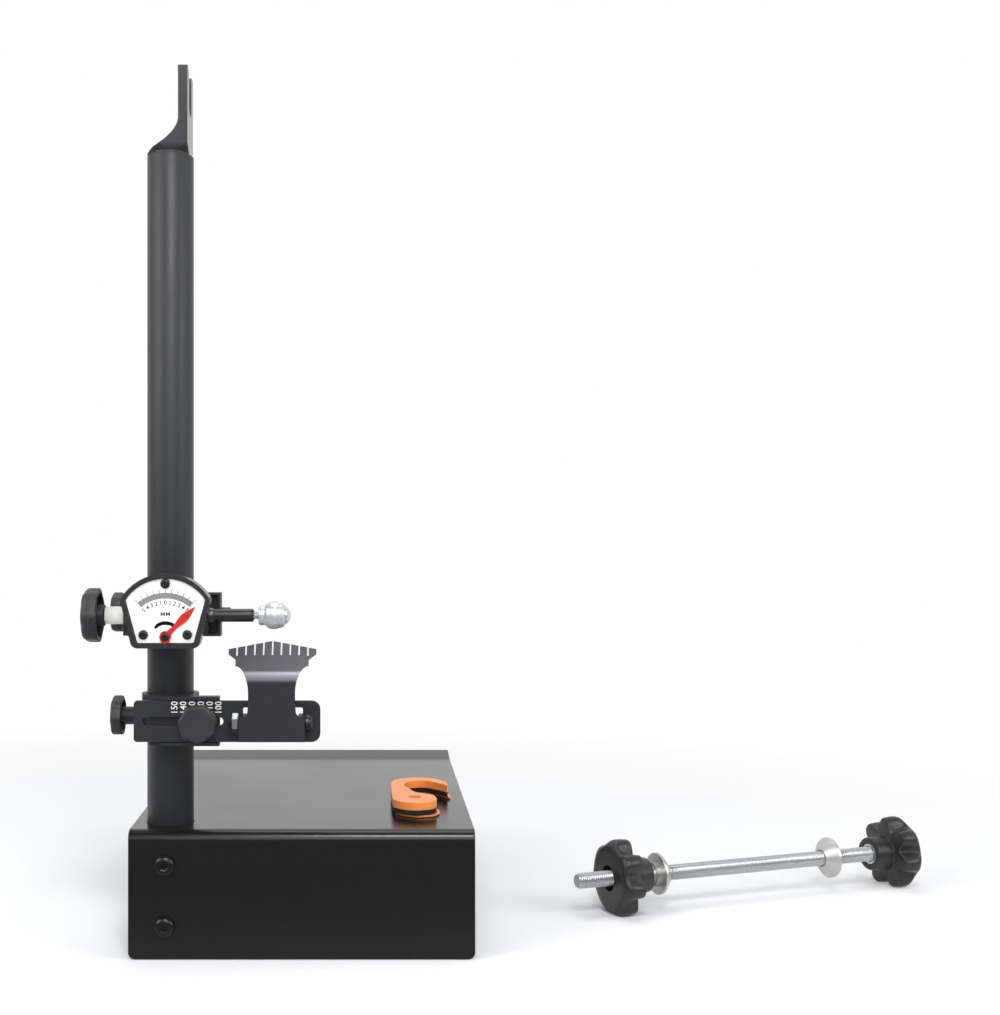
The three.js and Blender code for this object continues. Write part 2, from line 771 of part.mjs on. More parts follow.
function pointer_shape() {
  const wide_at = pointer_length * pointer_wide_share;
  const blade = outline([
    [-pointer_neck / 2, 0], [-pointer_neck / 2, -pointer_tail],
    [pointer_neck / 2, -pointer_tail],
    [pointer_neck / 2, 0], [pointer_neck / 2, pointer_hub / 2],
    [pointer_width / 2, wide_at], [0, pointer_length], [-pointer_width / 2, wide_at],
    [-pointer_neck / 2, pointer_hub / 2],
  ]);
  const hub = disc(pointer_hub);
  const hole = disc(pivot_shank + 2 * gap);
  const flat = CrossSection.union([blade, hub]).subtract(hole).rotate(-pointer_rest_degrees)
    .translate([dial_x, pivot_z]);
  const angle = degrees(pointer_rest_degrees);
  const pin = bar_y(drive_pin, pointer_back - pointer_thickness / 2,
    pointer_back + drive_pin_length, dial_x + drive_radius * Math.sin(angle),
    pivot_z + drive_radius * Math.cos(angle), small_steps / 2);
  return join(along_y(flat, pointer_thickness, pointer_front), pin);
}

function fork_shape() {
  const collar = bar_x(fork_collar, fork_left, fork_right, plunger_y, gauge_height);
  const half = fork_arm_height / 2;
  const arm = box(fork_left, fork_right, fork_back - fork_plate, plunger_y,
    gauge_height - half, gauge_height + half);
  const blade = box(fork_x - fork_width / 2, fork_x + fork_width / 2, fork_back - fork_plate,
    fork_back, gauge_height - fork_drop, gauge_height + half);
  const throat = drive_pin / 2 + drive_play;
  const slot = box(fork_x - throat, fork_x + throat, fork_back - fork_plate - overshoot,
    fork_back + overshoot, gauge_height - fork_drop - overshoot,
    gauge_height - fork_throat_drop);
  const bore = bar_x(plunger_thick + 2 * gap, fork_left - overshoot, fork_right + overshoot,
    plunger_y, gauge_height);
  return join(collar, arm, blade).subtract(slot).subtract(bore);
}

const bush_left = -body_left - bush_showing;
const bush_right = bush_left + bush_length;
const gauge_knob_face = bush_left - gap;
const gauge_knob_bore_end = gauge_knob_face - gauge_knob_bore_depth;

function plunger_shape() {
  const start = gauge_knob_bore_end + gap;
  const step_x = fork_left + gap;
  const chamfer = plunger_thick * end_chamfer_share;
  const rod = turned_x([[start, plunger_thin / 2], [step_x, plunger_thin / 2],
    [step_x, plunger_thick / 2], [plunger_tip_x - chamfer, plunger_thick / 2],
    [plunger_tip_x, plunger_thick / 2 - chamfer]], plunger_y, gauge_height, small_steps);
  const hole = bar_x(tip_stud + 2 * gap, plunger_tip_x - plunger_stud_hole,
    plunger_tip_x + overshoot, plunger_y, gauge_height);
  return rod.subtract(hole);
}

function bush_shape() {
  const outer = bar_x(bush_outer, bush_left, bush_right, plunger_y, gauge_height);
  const inner = bar_x(plunger_thin + 2 * running_gap, bush_left - overshoot,
    bush_right + overshoot, plunger_y, gauge_height);
  return outer.subtract(inner);
}

// A coil spring along X between two places.
function spring_shape(start, end) {
  const radius = (spring_outer - spring_wire) / 2;
  const count = spring_turns * spring_turn_steps;
  const first = start + spring_wire / 2;
  const run = end - start - spring_wire;
  const points = [];
  const triangles = [];
  for (let step = 0; step <= count; step += 1) {
    const angle = 2 * Math.PI * step / spring_turn_steps;
    for (let side = 0; side < spring_wire_steps; side += 1) {
      const turn = 2 * Math.PI * side / spring_wire_steps;
      const reach = radius + spring_wire / 2 * Math.cos(turn);
      points.push(first + run * step / count + spring_wire / 2 * Math.sin(turn),
        plunger_y + reach * Math.cos(angle), gauge_height + reach * Math.sin(angle));
    }
  }
  const at = (step, side) => step * spring_wire_steps + side % spring_wire_steps;
  for (let step = 0; step < count; step += 1) {
    for (let side = 0; side < spring_wire_steps; side += 1) {
      triangles.push(at(step, side), at(step + 1, side + 1), at(step, side + 1));
      triangles.push(at(step, side), at(step + 1, side), at(step + 1, side + 1));
    }
  }
  for (let side = 1; side < spring_wire_steps - 1; side += 1) {
    triangles.push(at(0, 0), at(0, side), at(0, side + 1));
    triangles.push(at(count, 0), at(count, side + 1), at(count, side));
  }
  const mesh = new kernel.Mesh({
    numProp: 3,
    vertProperties: new Float32Array(points),
    triVerts: new Uint32Array(triangles),
  });
  return new Manifold(mesh);
}

function gauge_knob_shape() {
  const head = knob_head(gauge_knob_diameter, gauge_knob_thickness, large_lobe_share / 2)
    .rotate([0, -90, 0])
    .translate([gauge_knob_face - gauge_knob_hub_length, plunger_y, gauge_height]);
  const hub = bar_x(gauge_knob_hub, gauge_knob_face - 2 * gauge_knob_hub_length,
    gauge_knob_face, plunger_y, gauge_height);
  const bore = bar_x(plunger_thin + 2 * gap, gauge_knob_bore_end, gauge_knob_face + overshoot,
    plunger_y, gauge_height);
  return join(head, hub).subtract(bore);
}

const tip_collar_start = plunger_tip_x + tip_stud_showing;
const tip_body_start = tip_collar_start + tip_collar_length;
const tip_nose_start = tip_body_start + tip_body_length;
const tip_mouth = tip_nose_start + tip_nose_length;
const tip_ball_x = tip_mouth + tip_ball_showing - tip_ball / 2;

function tip_body_shape() {
  const shoulder = tip_body_length * tip_shoulder_share;
  const round = tip_body * tip_round_share;
  const body = turned_x([
    [tip_collar_start - tip_stud_length, tip_stud / 2], [tip_collar_start, tip_stud / 2],
    [tip_collar_start, tip_collar / 2 - round], [tip_collar_start + round, tip_collar / 2],
    [tip_body_start, tip_collar / 2], [tip_body_start + shoulder, tip_body / 2],
    [tip_nose_start - shoulder, tip_body / 2], [tip_nose_start, tip_body / 2 - round / 2],
    [tip_mouth, tip_nose / 2]], plunger_y, gauge_height, round_steps);
  const cup = Manifold.sphere(tip_ball / 2 + running_gap, small_steps)
    .translate([tip_ball_x, plunger_y, gauge_height]);
  return body.subtract(cup);
}

function dish_clamp_shape() {
  const half = channel_height / 2;
  const inner = (bar_height + 2 * running_gap) / 2;
  const low = dish_height - half;
  const high = dish_height + half;
  const sheet = box(-channel_left, channel_right, channel_floor_y,
    channel_floor_y + channel_plate, low, high);
  const block = box(-channel_left, channel_block_right, channel_floor_y, channel_back, low, high);
  const boss = bar_y(lock_boss, channel_floor_y,
    channel_floor_y + lock_stud_depth + gap + lock_boss_wall, lock_x, dish_height);
  const lip_front = channel_floor_y - lip_reach;
  const lip = (bottom, top) => box(-lip_left, channel_right, lip_front,
    channel_floor_y + overshoot, bottom, top);
  const lips = join(lip(dish_height + inner, high), lip(low, dish_height - inner));
  const ring = clamp_ring(dish_clamp_height, dish_height, dish_clamp_wall);
  const stud_hole = bar_y(lock_stud + 2 * gap, channel_floor_y - overshoot,
    channel_floor_y + lock_stud_depth + gap, lock_x, dish_height);
  return join(ring, sheet, block, boss, lips)
    .subtract(clamp_bore(dish_clamp_height, dish_height))
    .subtract(stud_hole);
}

const ear_outer = plate_width / 2;
const lug_outer = ear_outer - plate_sheet - lug_play;
const lug_inner = lug_outer - lug_thickness;

function slide_bar_shape() {
  const half = bar_height / 2;
  const low = dish_height - half;
  const high = dish_height + half;
  const sheet = rounded(-bar_left, bar_right, low, high,
    [bar_corner_small, bar_corner_large, bar_corner_large, bar_corner_small]);
  const slot_half = bar_slot_height / 2;
  const end = slot_half * full_round_share;
  const slot = rounded(-bar_slot_left, bar_slot_right, dish_height - slot_half,
    dish_height + slot_half, [end, end, end, end]);
  const lug_half = lug_height / 2;
  const narrow = rounded(dish_x - lug_inner, dish_x + lug_inner, dish_height - lug_half,
    dish_height + lug_half + overshoot, [0, 0, 0, 0]);
  const wide = rounded(dish_x - window_half_width, dish_x + window_half_width,
    dish_height + lug_half, dish_height + window_rise, [0, 0, 0, 0]);
  const flat = sheet.subtract(CrossSection.union([slot, narrow, wide]));
  const body = along_y(flat, bar_thickness, bar_front);
  const round = lug_half * full_round_share;
  const lug = rounded(hinge_y - lug_half, bar_back, dish_height - lug_half,
    dish_height + lug_half, [round, 0, 0, round]);
  const hole = disc(plate_bolt + 2 * gap).translate([hinge_y, dish_height]);
  const ear = lug.subtract(hole);
  return join(body, along_x(ear, lug_thickness, dish_x - lug_outer),
    along_x(ear, lug_thickness, dish_x + lug_inner));
}

// The front view of the dish plate, right half then mirrored left half.
function plate_front_outline() {
  const waist = plate_waist_width / 2;
  const notch = plate_span / 2 - plate_notch_inset;
  const right = [[ear_outer, -plate_foot_drop], [ear_outer, plate_ear_rise],
    [plate_neck_width / 2, plate_ear_rise + gap], [waist + gap, plate_neck_rise],
    [waist, plate_waist_rise]];
  const climb = plate_notch_low - plate_waist_rise;
  for (let step = 1; step <= arc_steps; step += 1) {
    const angle = degrees(90 * step / arc_steps);
    right.push([waist + (notch - waist) * (1 - Math.cos(angle)),
      plate_waist_rise + climb * Math.sin(angle)]);
  }
  right.push([notch, plate_notch_high], [plate_span / 2, plate_end_low],
    [plate_span / 2, plate_end_high], [0, plate_peak_rise]);
  const left = right.slice(0, -1).reverse().map(([x, z]) => [-x, z]);
  return outline([...right, ...left]).translate([dish_x, dish_height]);
}

function dish_plate_shape() {
  const front = -plate_front_reach + plate_sheet / 2;
  const lean = degrees(plate_lean_degrees);
  const climb = plate_peak_rise - plate_bend_rise + plate_sheet;
  const path = [[front, -plate_foot_drop - overshoot], [front, plate_bend_rise],
    [front + climb * Math.tan(lean), plate_bend_rise + climb]];
  const side = bent_strip(path, plate_sheet, plate_bend_inner).translate([hinge_y, dish_height]);
  const folded = along_x(side, plate_span, dish_x - plate_span / 2);
  const stencil = along_y(plate_front_outline(), 2 * plate_peak_rise,
    hinge_y - plate_peak_rise);
  const slits = [];
  for (let index = -plate_slit_pairs; index <= plate_slit_pairs; index += 1) {
    const x = dish_x + index * plate_slit_pitch;
    slits.push(box(x - plate_slit_width / 2, x + plate_slit_width / 2,
      hinge_y - plate_peak_rise, hinge_y + plate_peak_rise, dish_height + plate_slit_floor,
      dish_height + plate_peak_rise + overshoot));
  }
  const face = folded.intersect(stencil).subtract(join(...slits));
  const ear = outline([[-plate_front_reach, -plate_foot_drop], [plate_ear_back, -plate_ear_cut],
    [plate_ear_back, plate_ear_rise], [-plate_front_reach, plate_ear_rise]])
    .subtract(disc(plate_bolt + 2 * gap)).translate([hinge_y, dish_height]);
  return join(face, along_x(ear, plate_sheet, dish_x - ear_outer),
    along_x(ear, plate_sheet, dish_x + ear_outer - plate_sheet));
}

const nut_right = dish_x - ear_outer - gap;
const nut_left = nut_right - plate_nut_height;

function plate_bolt_shape() {
  const seat = dish_x + ear_outer + gap;
  const head = turned_x(profile_of(dome_share, plate_bolt_head_height, plate_bolt_head)
    .map(([along, radius]) => [seat + along, radius]), hinge_y, dish_height, small_steps);
  const shank = bar_x(plate_bolt, nut_left - plate_bolt_end, seat, hinge_y, dish_height);
  const flats = CrossSection.circle(plate_bolt * bolt_socket_share, 6).translate([hinge_y, dish_height]);
  const socket = along_x(flats, plate_bolt_head_height,
    seat + plate_bolt_head_height / 2);
  return join(head, shank).subtract(socket);
}

function plate_nut_shape() {
  const hex = CrossSection.circle(plate_nut_flats / Math.sqrt(3), 6);
  const hole = disc(plate_bolt + 2 * gap);
  return along_x(hex.subtract(hole).translate([hinge_y, dish_height]), plate_nut_height,
    nut_left);
}

const lock_washer_back = bar_front - gap;
const lock_washer_front = lock_washer_back - lock_washer_thickness;
const lock_hub_back = lock_washer_front - gap;
const lock_bore_end = lock_hub_back - lock_hub_length - lock_knob_thickness / 2;

function lock_knob_shape() {
  const head = knob_head(lock_knob_diameter, lock_knob_thickness, small_lobe_share)
    .rotate([90, 0, 0]).translate([lock_x, lock_hub_back - lock_hub_length, dish_height]);
  const hub = bar_y(lock_hub, lock_hub_back - lock_hub_length - overshoot, lock_hub_back,
    lock_x, dish_height);
  const bore = bar_y(lock_stud + 2 * gap, lock_bore_end, lock_hub_back + overshoot, lock_x,
    dish_height);
  return join(head, hub).subtract(bore);
}

const lock_stud_shape = () => bar_y(lock_stud, lock_bore_end + gap,
  channel_floor_y + lock_stud_depth, lock_x, dish_height);

function lock_washer_shape() {
  const ring = disc(lock_washer).subtract(disc(lock_stud + 2 * gap));
  return along_y(ring.translate([lock_x, dish_height]), lock_washer_thickness,
    lock_washer_front);
}

const side_hub_face = -side_boss_end - gap;

function side_knob_shape(level) {
  const head = knob_head(side_knob_diameter, side_knob_thickness, small_lobe_share)
    .rotate([0, -90, 0]).translate([side_hub_face - side_knob_hub_length, column_y, level]);
  const hub = bar_x(side_knob_hub, side_hub_face - side_knob_hub_length - overshoot,
    side_hub_face, column_y, level);
  const bore = bar_x(side_stud + 2 * gap, side_hub_face - side_stud_in_knob,
    side_hub_face + overshoot, column_y, level);
  return join(head, hub).subtract(bore);
}

const side_stud_shape = (level) => bar_x(side_stud, side_hub_face - side_stud_in_knob + gap,
  -column_radius - gap, column_y, level);

// One layer of the hook spacer.
function hook_layer(bottom, thickness, shift, back) {
  const points = hook_outline_share.map(([x, y]) => [x * hook_width, y * hook_length]);
  const hole = disc(hook_hole).translate([hook_hole_x_share * hook_width,
    hook_hole_y_share * hook_length]);
  const flat = outline(points.reverse()).subtract(hole);
  return along_z(flat.translate([hook_x + shift, hook_y + back]), thickness, bottom);
}

const near_knob_back = adapter_rod_end + adapter_knob_thickness;
const near_hub_end = near_knob_back + adapter_hub_length;
const far_knob_front = adapter_length - adapter_knob_dome;
const far_knob_back = far_knob_front - adapter_knob_thickness;
const far_hub_end = far_knob_back - adapter_hub_length;
const adapter_rod_length = far_hub_end + adapter_bore_depth - gap;

// A large knob body along Z with its hub pointing down.
function adapter_knob(turn_degrees) {
  const head = knob_head(adapter_knob_diameter, adapter_knob_thickness, large_lobe_share)
    .rotate([0, 0, turn_degrees]);
  const hub = along_z(disc(adapter_hub, round_steps), adapter_hub_length + overshoot,
    -adapter_hub_length);
  return join(head, hub);
}

function near_knob_shape() {
  const bore = along_z(disc(adapter_insert + 2 * gap), 2 * near_hub_end, 0);
  const recess = along_z(disc(adapter_recess), adapter_recess_depth + overshoot,
    adapter_rod_end - overshoot);
  return adapter_knob(180 / lobe_count).rotate([180, 0, 0]).translate([0, 0, near_knob_back])
    .subtract(bore).subtract(recess);
}

function far_knob_shape() {
  const dome = turned_z(profile_of(knob_dome_share, adapter_knob_dome, adapter_hub))
    .translate([0, 0, adapter_knob_thickness]);
  const bore = along_z(disc(adapter_insert + 2 * gap), adapter_bore_depth + overshoot,
    far_hub_end - overshoot);
  return join(adapter_knob(180 / lobe_count), dome).translate([0, 0, far_knob_back])
    .subtract(bore);
}

function insert_shape(start, length) {
  const ring = disc(adapter_insert).subtract(disc(adapter_rod + 2 * gap));
  return along_z(ring, length, start);
}

function cone_shape() {
  const step = cone_boss_length * cone_step_share;
  const flange_start = cone_boss_length;
  const nose_start = flange_start + cone_flange_thickness;
  const body = turned_z([[0, cone_boss_small / 2], [step, cone_boss_small / 2],
    [step, cone_boss / 2], [flange_start, cone_boss / 2], [flange_start, cone_flange / 2],
    [nose_start, cone_flange / 2], [nose_start + cone_nose_length, cone_nose / 2]],
  round_steps);
  const bore = along_z(disc(adapter_rod + 2 * running_gap), 2 * cone_flange, -overshoot);
  return body.subtract(bore);
}

const cone_length = cone_boss_length + cone_flange_thickness + cone_nose_length;

function rod_shape() {
  const chamfer = adapter_rod * end_chamfer_share;
  return turned_z([[0, adapter_rod / 2 - chamfer], [chamfer, adapter_rod / 2],
    [adapter_rod_length - chamfer, adapter_rod / 2],
    [adapter_rod_length, adapter_rod / 2 - chamfer]], small_steps);
}

// The loose adapter, turned to lie on the floor on two lobes of each knob.
function add_adapter() {
  const insert_start = adapter_rod_end + adapter_recess_depth + gap;
  const parts = [
    ['adapter_rod', rod_shape(), colour.steel, true],
    ['adapter_knob_near', near_knob_shape(), colour.plastic, false],
    ['adapter_insert_near', insert_shape(insert_start, near_hub_end - insert_start - gap),
      colour.steel, true],
    ['adapter_cone_near', cone_shape().translate([0, 0, near_cone_start]), colour.steel, true],
    ['adapter_cone_far', cone_shape().rotate([180, 0, 0])
      .translate([0, 0, far_cone_start + cone_length]), colour.steel, true],
    ['adapter_insert_far', insert_shape(far_hub_end + gap, adapter_bore_depth - 2 * gap),
      colour.steel, true],
    ['adapter_knob_far', far_knob_shape(), colour.plastic, false],
  ];
  const laid = parts.map(([name, shape, tone, shiny]) =>
    [name, shape.translate([0, 0, -adapter_length / 2]).rotate([0, 90, 0])
      .rotate([0, 0, adapter_plan_degrees]), tone, shiny]);
  const lowest = Math.min(...laid.map((part) => part[1].boundingBox().min[2]));
  laid.forEach(([name, shape, tone, shiny]) => {
    const placed = shape.translate([adapter_x, adapter_y, -lowest]);
    if (shiny) metal(name, placed, tone);
    else matte(name, placed, tone);
  });
}

function add_stand() {
  matte('base_sheet', base_sheet_shape(), colour.black);
  matte('column_tube', column_tube_shape(), colour.black);
  matte('column_head', head_shape(), colour.black);
  matte('column_saddle', saddle_shape(), colour.dark_steel);
  metal('column_nut_bar', nut_bar_shape(), colour.dark_steel);
  const size = {
    shank: column_screw_shank, head: column_screw_head, head_height: column_screw_head_height,
    flats: column_socket_flats, socket: column_socket_depth,
    length: column_y + column_screw_shank - gap - front_face,
  };
  const seat = front_face - gap;
  metal('column_screw_lower', screw_y(0, column_screw_levels[0], seat, size), colour.black);
  metal('column_screw_upper', screw_y(0, column_screw_levels[1], seat, size), colour.black);
}

function add_gauge() {
  matte('gauge_clamp', gauge_clamp_shape(), colour.black);
  const [low, high] = gauge_screw_places();
  metal('gauge_screw_lower', gauge_screw_shape(low), colour.steel);
  metal('gauge_screw_upper', gauge_screw_shape(high), colour.steel);
  matte('gauge_clamp_knob', side_knob_shape(gauge_height), colour.plastic);
  metal('gauge_clamp_stud', side_stud_shape(gauge_height), colour.steel);
  matte('gauge_body', gauge_body_shape(), colour.black);
  matte('dial_face', dial_face_shape(), colour.white);
  const seat = face_front - gap;
  ['top', 'left', 'right'].forEach((side, index) => {
    metal(`dial_screw_${side}`, dial_screw_shape(dial_screw_places[index], seat,
      dial_screw_shank, dial_screw_head, dial_screw_head_height), colour.dark_steel);
  });
  matte('pointer', pointer_shape(), colour.red);
  metal('pointer_screw', dial_screw_shape([dial_x, pivot_z], pointer_front - gap, pivot_shank,
    pivot_head, pivot_head_height), colour.dark_steel);
}

function add_plunger() {
  metal('plunger_rod', plunger_shape(), colour.black);
  metal('plunger_fork', fork_shape(), colour.dark_steel);
  metal('plunger_spring', spring_shape(bush_right + gap, fork_left - gap), colour.steel);
  matte('plunger_bush', bush_shape(), colour.nylon);
  matte('plunger_knob', gauge_knob_shape(), colour.plastic);
  metal('tip_body', tip_body_shape(), colour.steel);
  metal('tip_ball', Manifold.sphere(tip_ball / 2, round_steps)
    .translate([tip_ball_x, plunger_y, gauge_height]), colour.steel);
}

function add_dish_gauge() {
  matte('dish_clamp', dish_clamp_shape(), colour.black);
  matte('dish_clamp_knob', side_knob_shape(dish_height), colour.plastic);
  metal('dish_clamp_stud', side_stud_shape(dish_height), colour.steel);
  matte('slide_bar', slide_bar_shape(), colour.black);
  matte('bar_lock_knob', lock_knob_shape(), colour.plastic);
  metal('bar_lock_stud', lock_stud_shape(), colour.steel);
  metal('bar_lock_washer', lock_washer_shape(), colour.steel);
  metal('dish_plate', dish_plate_shape(), colour.dark_steel);
  metal('plate_bolt', plate_bolt_shape(), colour.dark_steel);
  metal('plate_nut', plate_nut_shape(), colour.steel);
}

function add_hook() {
  const foot = base_height + gap;
  const pad = foot + hook_foot_thickness + gap;
  const top = pad + hook_pad_thickness + gap;
  matte('hook_foot', hook_layer(foot, hook_foot_thickness, hook_foot_shift,
    hook_foot_back), colour.orange);
  matte('hook_pad', hook_layer(pad, hook_pad_thickness, 0, 0), colour.rubber);
  matte('hook_top', hook_layer(top, hook_top_thickness, 0, 0), colour.orange);
}

add_stand();
add_gauge();
add_plunger();
add_dish_gauge();
add_hook();
add_adapter();

export default group;
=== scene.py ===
# %% [markdown]
# # A bicycle wheel truing stand
# The stand is a folded steel base with an upright tube, a slotted head that takes the wheel's
# axle, a dial gauge that feels the rim and a dish gauge below it. A loose hook spacer lies on
# the base and a loose axle adapter beside it.
#
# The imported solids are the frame. They give every place and size in metres, so each piece
# here starts from the box of the solid it stands for, and is then made finer than the solid.

# %% Load the frame
import math
from functools import partial

import bmesh
import bpy
from mathutils import Matrix, Vector


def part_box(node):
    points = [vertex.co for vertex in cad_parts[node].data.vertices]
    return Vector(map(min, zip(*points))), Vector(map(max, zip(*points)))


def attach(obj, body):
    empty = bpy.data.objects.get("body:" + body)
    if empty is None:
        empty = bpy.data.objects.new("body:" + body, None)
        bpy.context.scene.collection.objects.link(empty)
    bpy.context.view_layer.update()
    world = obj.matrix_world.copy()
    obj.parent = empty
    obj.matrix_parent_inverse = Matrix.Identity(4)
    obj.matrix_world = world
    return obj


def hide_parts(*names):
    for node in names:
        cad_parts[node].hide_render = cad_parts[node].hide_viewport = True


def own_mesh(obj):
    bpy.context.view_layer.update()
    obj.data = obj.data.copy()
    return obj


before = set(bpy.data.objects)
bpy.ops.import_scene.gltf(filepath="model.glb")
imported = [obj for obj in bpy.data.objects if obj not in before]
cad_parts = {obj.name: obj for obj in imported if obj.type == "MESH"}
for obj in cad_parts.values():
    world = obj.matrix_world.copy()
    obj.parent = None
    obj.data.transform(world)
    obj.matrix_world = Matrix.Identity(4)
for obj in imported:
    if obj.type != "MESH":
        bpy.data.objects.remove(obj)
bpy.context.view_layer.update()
mm = 0.001
print("nodes in the frame:", len(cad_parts))

# %% [markdown]
# ## Camera
# The picture was taken level, from a little to the right of the column, which is why the right
# side of the blade shows. A level camera keeps upright edges upright. The object isn't in the
# middle of the frame, so the lens is shifted instead of turned.

# %% Camera
photo_width, photo_height = 1000, 1015
eye = Vector((114.3, -828, 246.4)) * mm
focal_pixels = 1458
view_centre_x, view_centre_y = 366, 525
sensor_mm = 36


def linked(name, data):
    """A new object in the scene for a camera, a lamp, text or a mesh."""
    made = bpy.data.objects.new(name, data)
    bpy.context.scene.collection.objects.link(made)
    return made


lens = bpy.data.cameras.new("camera")
lens.sensor_width = sensor_mm
lens.lens = focal_pixels / photo_height * sensor_mm
lens.shift_x = (photo_width / 2 - view_centre_x) / photo_height
lens.shift_y = (view_centre_y - photo_height / 2) / photo_height
camera = linked("camera", lens)
camera.location = eye
camera.rotation_euler = (math.pi / 2, 0, 0)
bpy.context.scene.camera = camera
print("lens in mm:", round(lens.lens, 1))

# %% [markdown]
# ## Node helpers
# Materials and Geometry Nodes are both trees of nodes. One small helper adds a node, sets its
# options and fills its inputs, either with a value or with the output of another node. A
# second one does arithmetic, because a formula needs one node for each step. The others map a
# range, mix two shaders, clear a tree and draw a curve through a few levels.

# %% Node helpers


def put(tree, kind, inputs=None, **options):
    """Add a node; inputs maps a socket's name or number to a value or to another socket."""
    made = tree.nodes.new(kind)
    for name, value in options.items():
        setattr(made, name, value)
    for key, value in (inputs or {}).items():
        if isinstance(value, bpy.types.NodeSocket):
            tree.links.new(value, made.inputs[key])
        else:
            made.inputs[key].default_value = value
    return made


def calc(tree, operation, *values):
    """One step of arithmetic on numbers or sockets."""
    return put(tree, "ShaderNodeMath", dict(enumerate(values)), operation=operation).outputs[0]


def spread(tree, value, low, high, to_low=0.0, to_high=1.0, kind="LINEAR"):
    """Map the range from low to high onto another one. The kind SMOOTHSTEP eases its ends."""
    return put(tree, "ShaderNodeMapRange", {
        "Value": value, "From Min": low, "From Max": high, "To Min": to_low,
        "To Max": to_high}, interpolation_type=kind).outputs[0]


def mixed(tree, share, first, second):
    """A shader that goes from the first to the second by a share."""
    return put(tree, "ShaderNodeMixShader", {0: share, 1: first, 2: second}).outputs[0]


def emptied(owner):
    """The node tree of a world or a material, cleared for its own nodes."""
    owner.use_nodes = True
    owner.node_tree.nodes.clear()
    return owner.node_tree


def ramp_of(tree, value, stops):
    """A smooth curve through (value, level) stops."""
    made = put(tree, "ShaderNodeValToRGB", {"Fac": value})
    made.color_ramp.interpolation = "EASE"
    levels = made.color_ramp.elements
    while len(levels) < len(stops):
        levels.new(0.5)
    for level, (place, height) in zip(levels, stops):
        level.position = place
        level.color = (height, height, height, 1)
    return made.outputs["Color"]


print("helpers ready")

# %% [markdown]
# ## Studio
# The photograph has a plain white ground, soft light from above and both sides, and hardly any
# shadow. A white world shows in the picture and in polished metal only, through Light Path, and
# a dimmer grey one lights the object. Large area lamps give the long soft highlights on the
# black tube. A mirror that faces the camera would show the dark room in front of the set, and
# that is why black metal looks black: the world is dark on that side for reflections. The
# floor fades to the same white with distance, so that no horizon shows.

# %% World
room_dark = 0.12          # how bright the room in front of the set looks in a mirror
above_gain = 0.9          # how bright the ceiling in front looks in a mirror
side_start, side_end = -0.35, 0.3      # the room brightens between these, from front to back
ceiling = [(0.06, 0.0), (0.24, 1.0), (0.62, 1.0), (0.8, 0.25)]     # (height, brightness)
plain_white, cool_grey, grey_strength = (1, 1, 1, 1), (0.92, 0.95, 1, 1), 0.42

world = bpy.data.worlds.new("studio")
bpy.context.scene.world = world
sky = emptied(world)
path = put(sky, "ShaderNodeLightPath").outputs
look = put(sky, "ShaderNodeSeparateXYZ", {
    0: put(sky, "ShaderNodeTexCoord").outputs["Generated"]}).outputs
behind = spread(sky, look["Y"], side_start, side_end, room_dark, kind="SMOOTHSTEP")
above = calc(sky, "MULTIPLY", above_gain, ramp_of(sky, look["Z"], ceiling))
seen = calc(sky, "MAXIMUM", path["Is Camera Ray"], path["Is Transmission Ray"])


def backdrop(colour, strength):
    """A world of one colour."""
    return put(sky, "ShaderNodeBackground", {"Color": colour, "Strength": strength}).outputs[0]


around = mixed(sky, path["Is Glossy Ray"], backdrop(cool_grey, grey_strength),
               backdrop(plain_white, calc(sky, "MAXIMUM", behind, above)))
put(sky, "ShaderNodeOutputWorld", {
    "Surface": mixed(sky, seen, around, backdrop(plain_white, 1))})
bpy.context.scene.view_settings.view_transform = "Standard"
print("world:", world.name)

# %% Lamps
lamp_plan = {
    # name: (place in metres, size in metres, power in watts)
    "left_panel": ((-1.1, -0.7, 0.9), 0.9, 11),
    "right_panel": ((1.5, -0.6, 0.8), 0.8, 8),
    "top_panel": ((0.15, 0.35, 1.8), 1.1, 8),
    "edge_panel": ((0.2, -0.95, 1.12), 0.3, 7.5),
    "front_panel": ((0.3, -1.7, 0.9), 1.0, 8),
}
aim = Vector((0.1, 0.05, 0.2))         # the point that every lamp looks at, in metres
for name, (place, size, power) in lamp_plan.items():
    lamp = bpy.data.lights.new(name, "AREA")
    lamp.size = size
    lamp.energy = power
    holder = linked(name, lamp)
    holder.location = place
    holder.rotation_euler = (aim - Vector(place)).to_track_quat("-Z", "Y").to_euler()
print("lamps:", len(lamp_plan))

# %% Floor
floor_half = 8.0
floor_drop = 0.2 * mm
fade_start, fade_end = 0.32, 0.95      # metres from the origin, where the paper turns white
front_start, front_end = -0.15, 0.1    # metres along Y, between in front of the set and behind
front_gain = 0.22         # how bright the floor in front of the set looks in a mirror
paper_grain, paper_low, paper_high = 260.0, 0.9, 0.94

floor_mesh = bpy.data.meshes.new("floor")
floor_mesh.from_pydata([(x * floor_half, y * floor_half, -floor_drop) for x, y in (
    (-1, -1), (1, -1), (1, 1), (-1, 1))], [], [(0, 1, 2, 3)])
floor = linked("floor", floor_mesh)

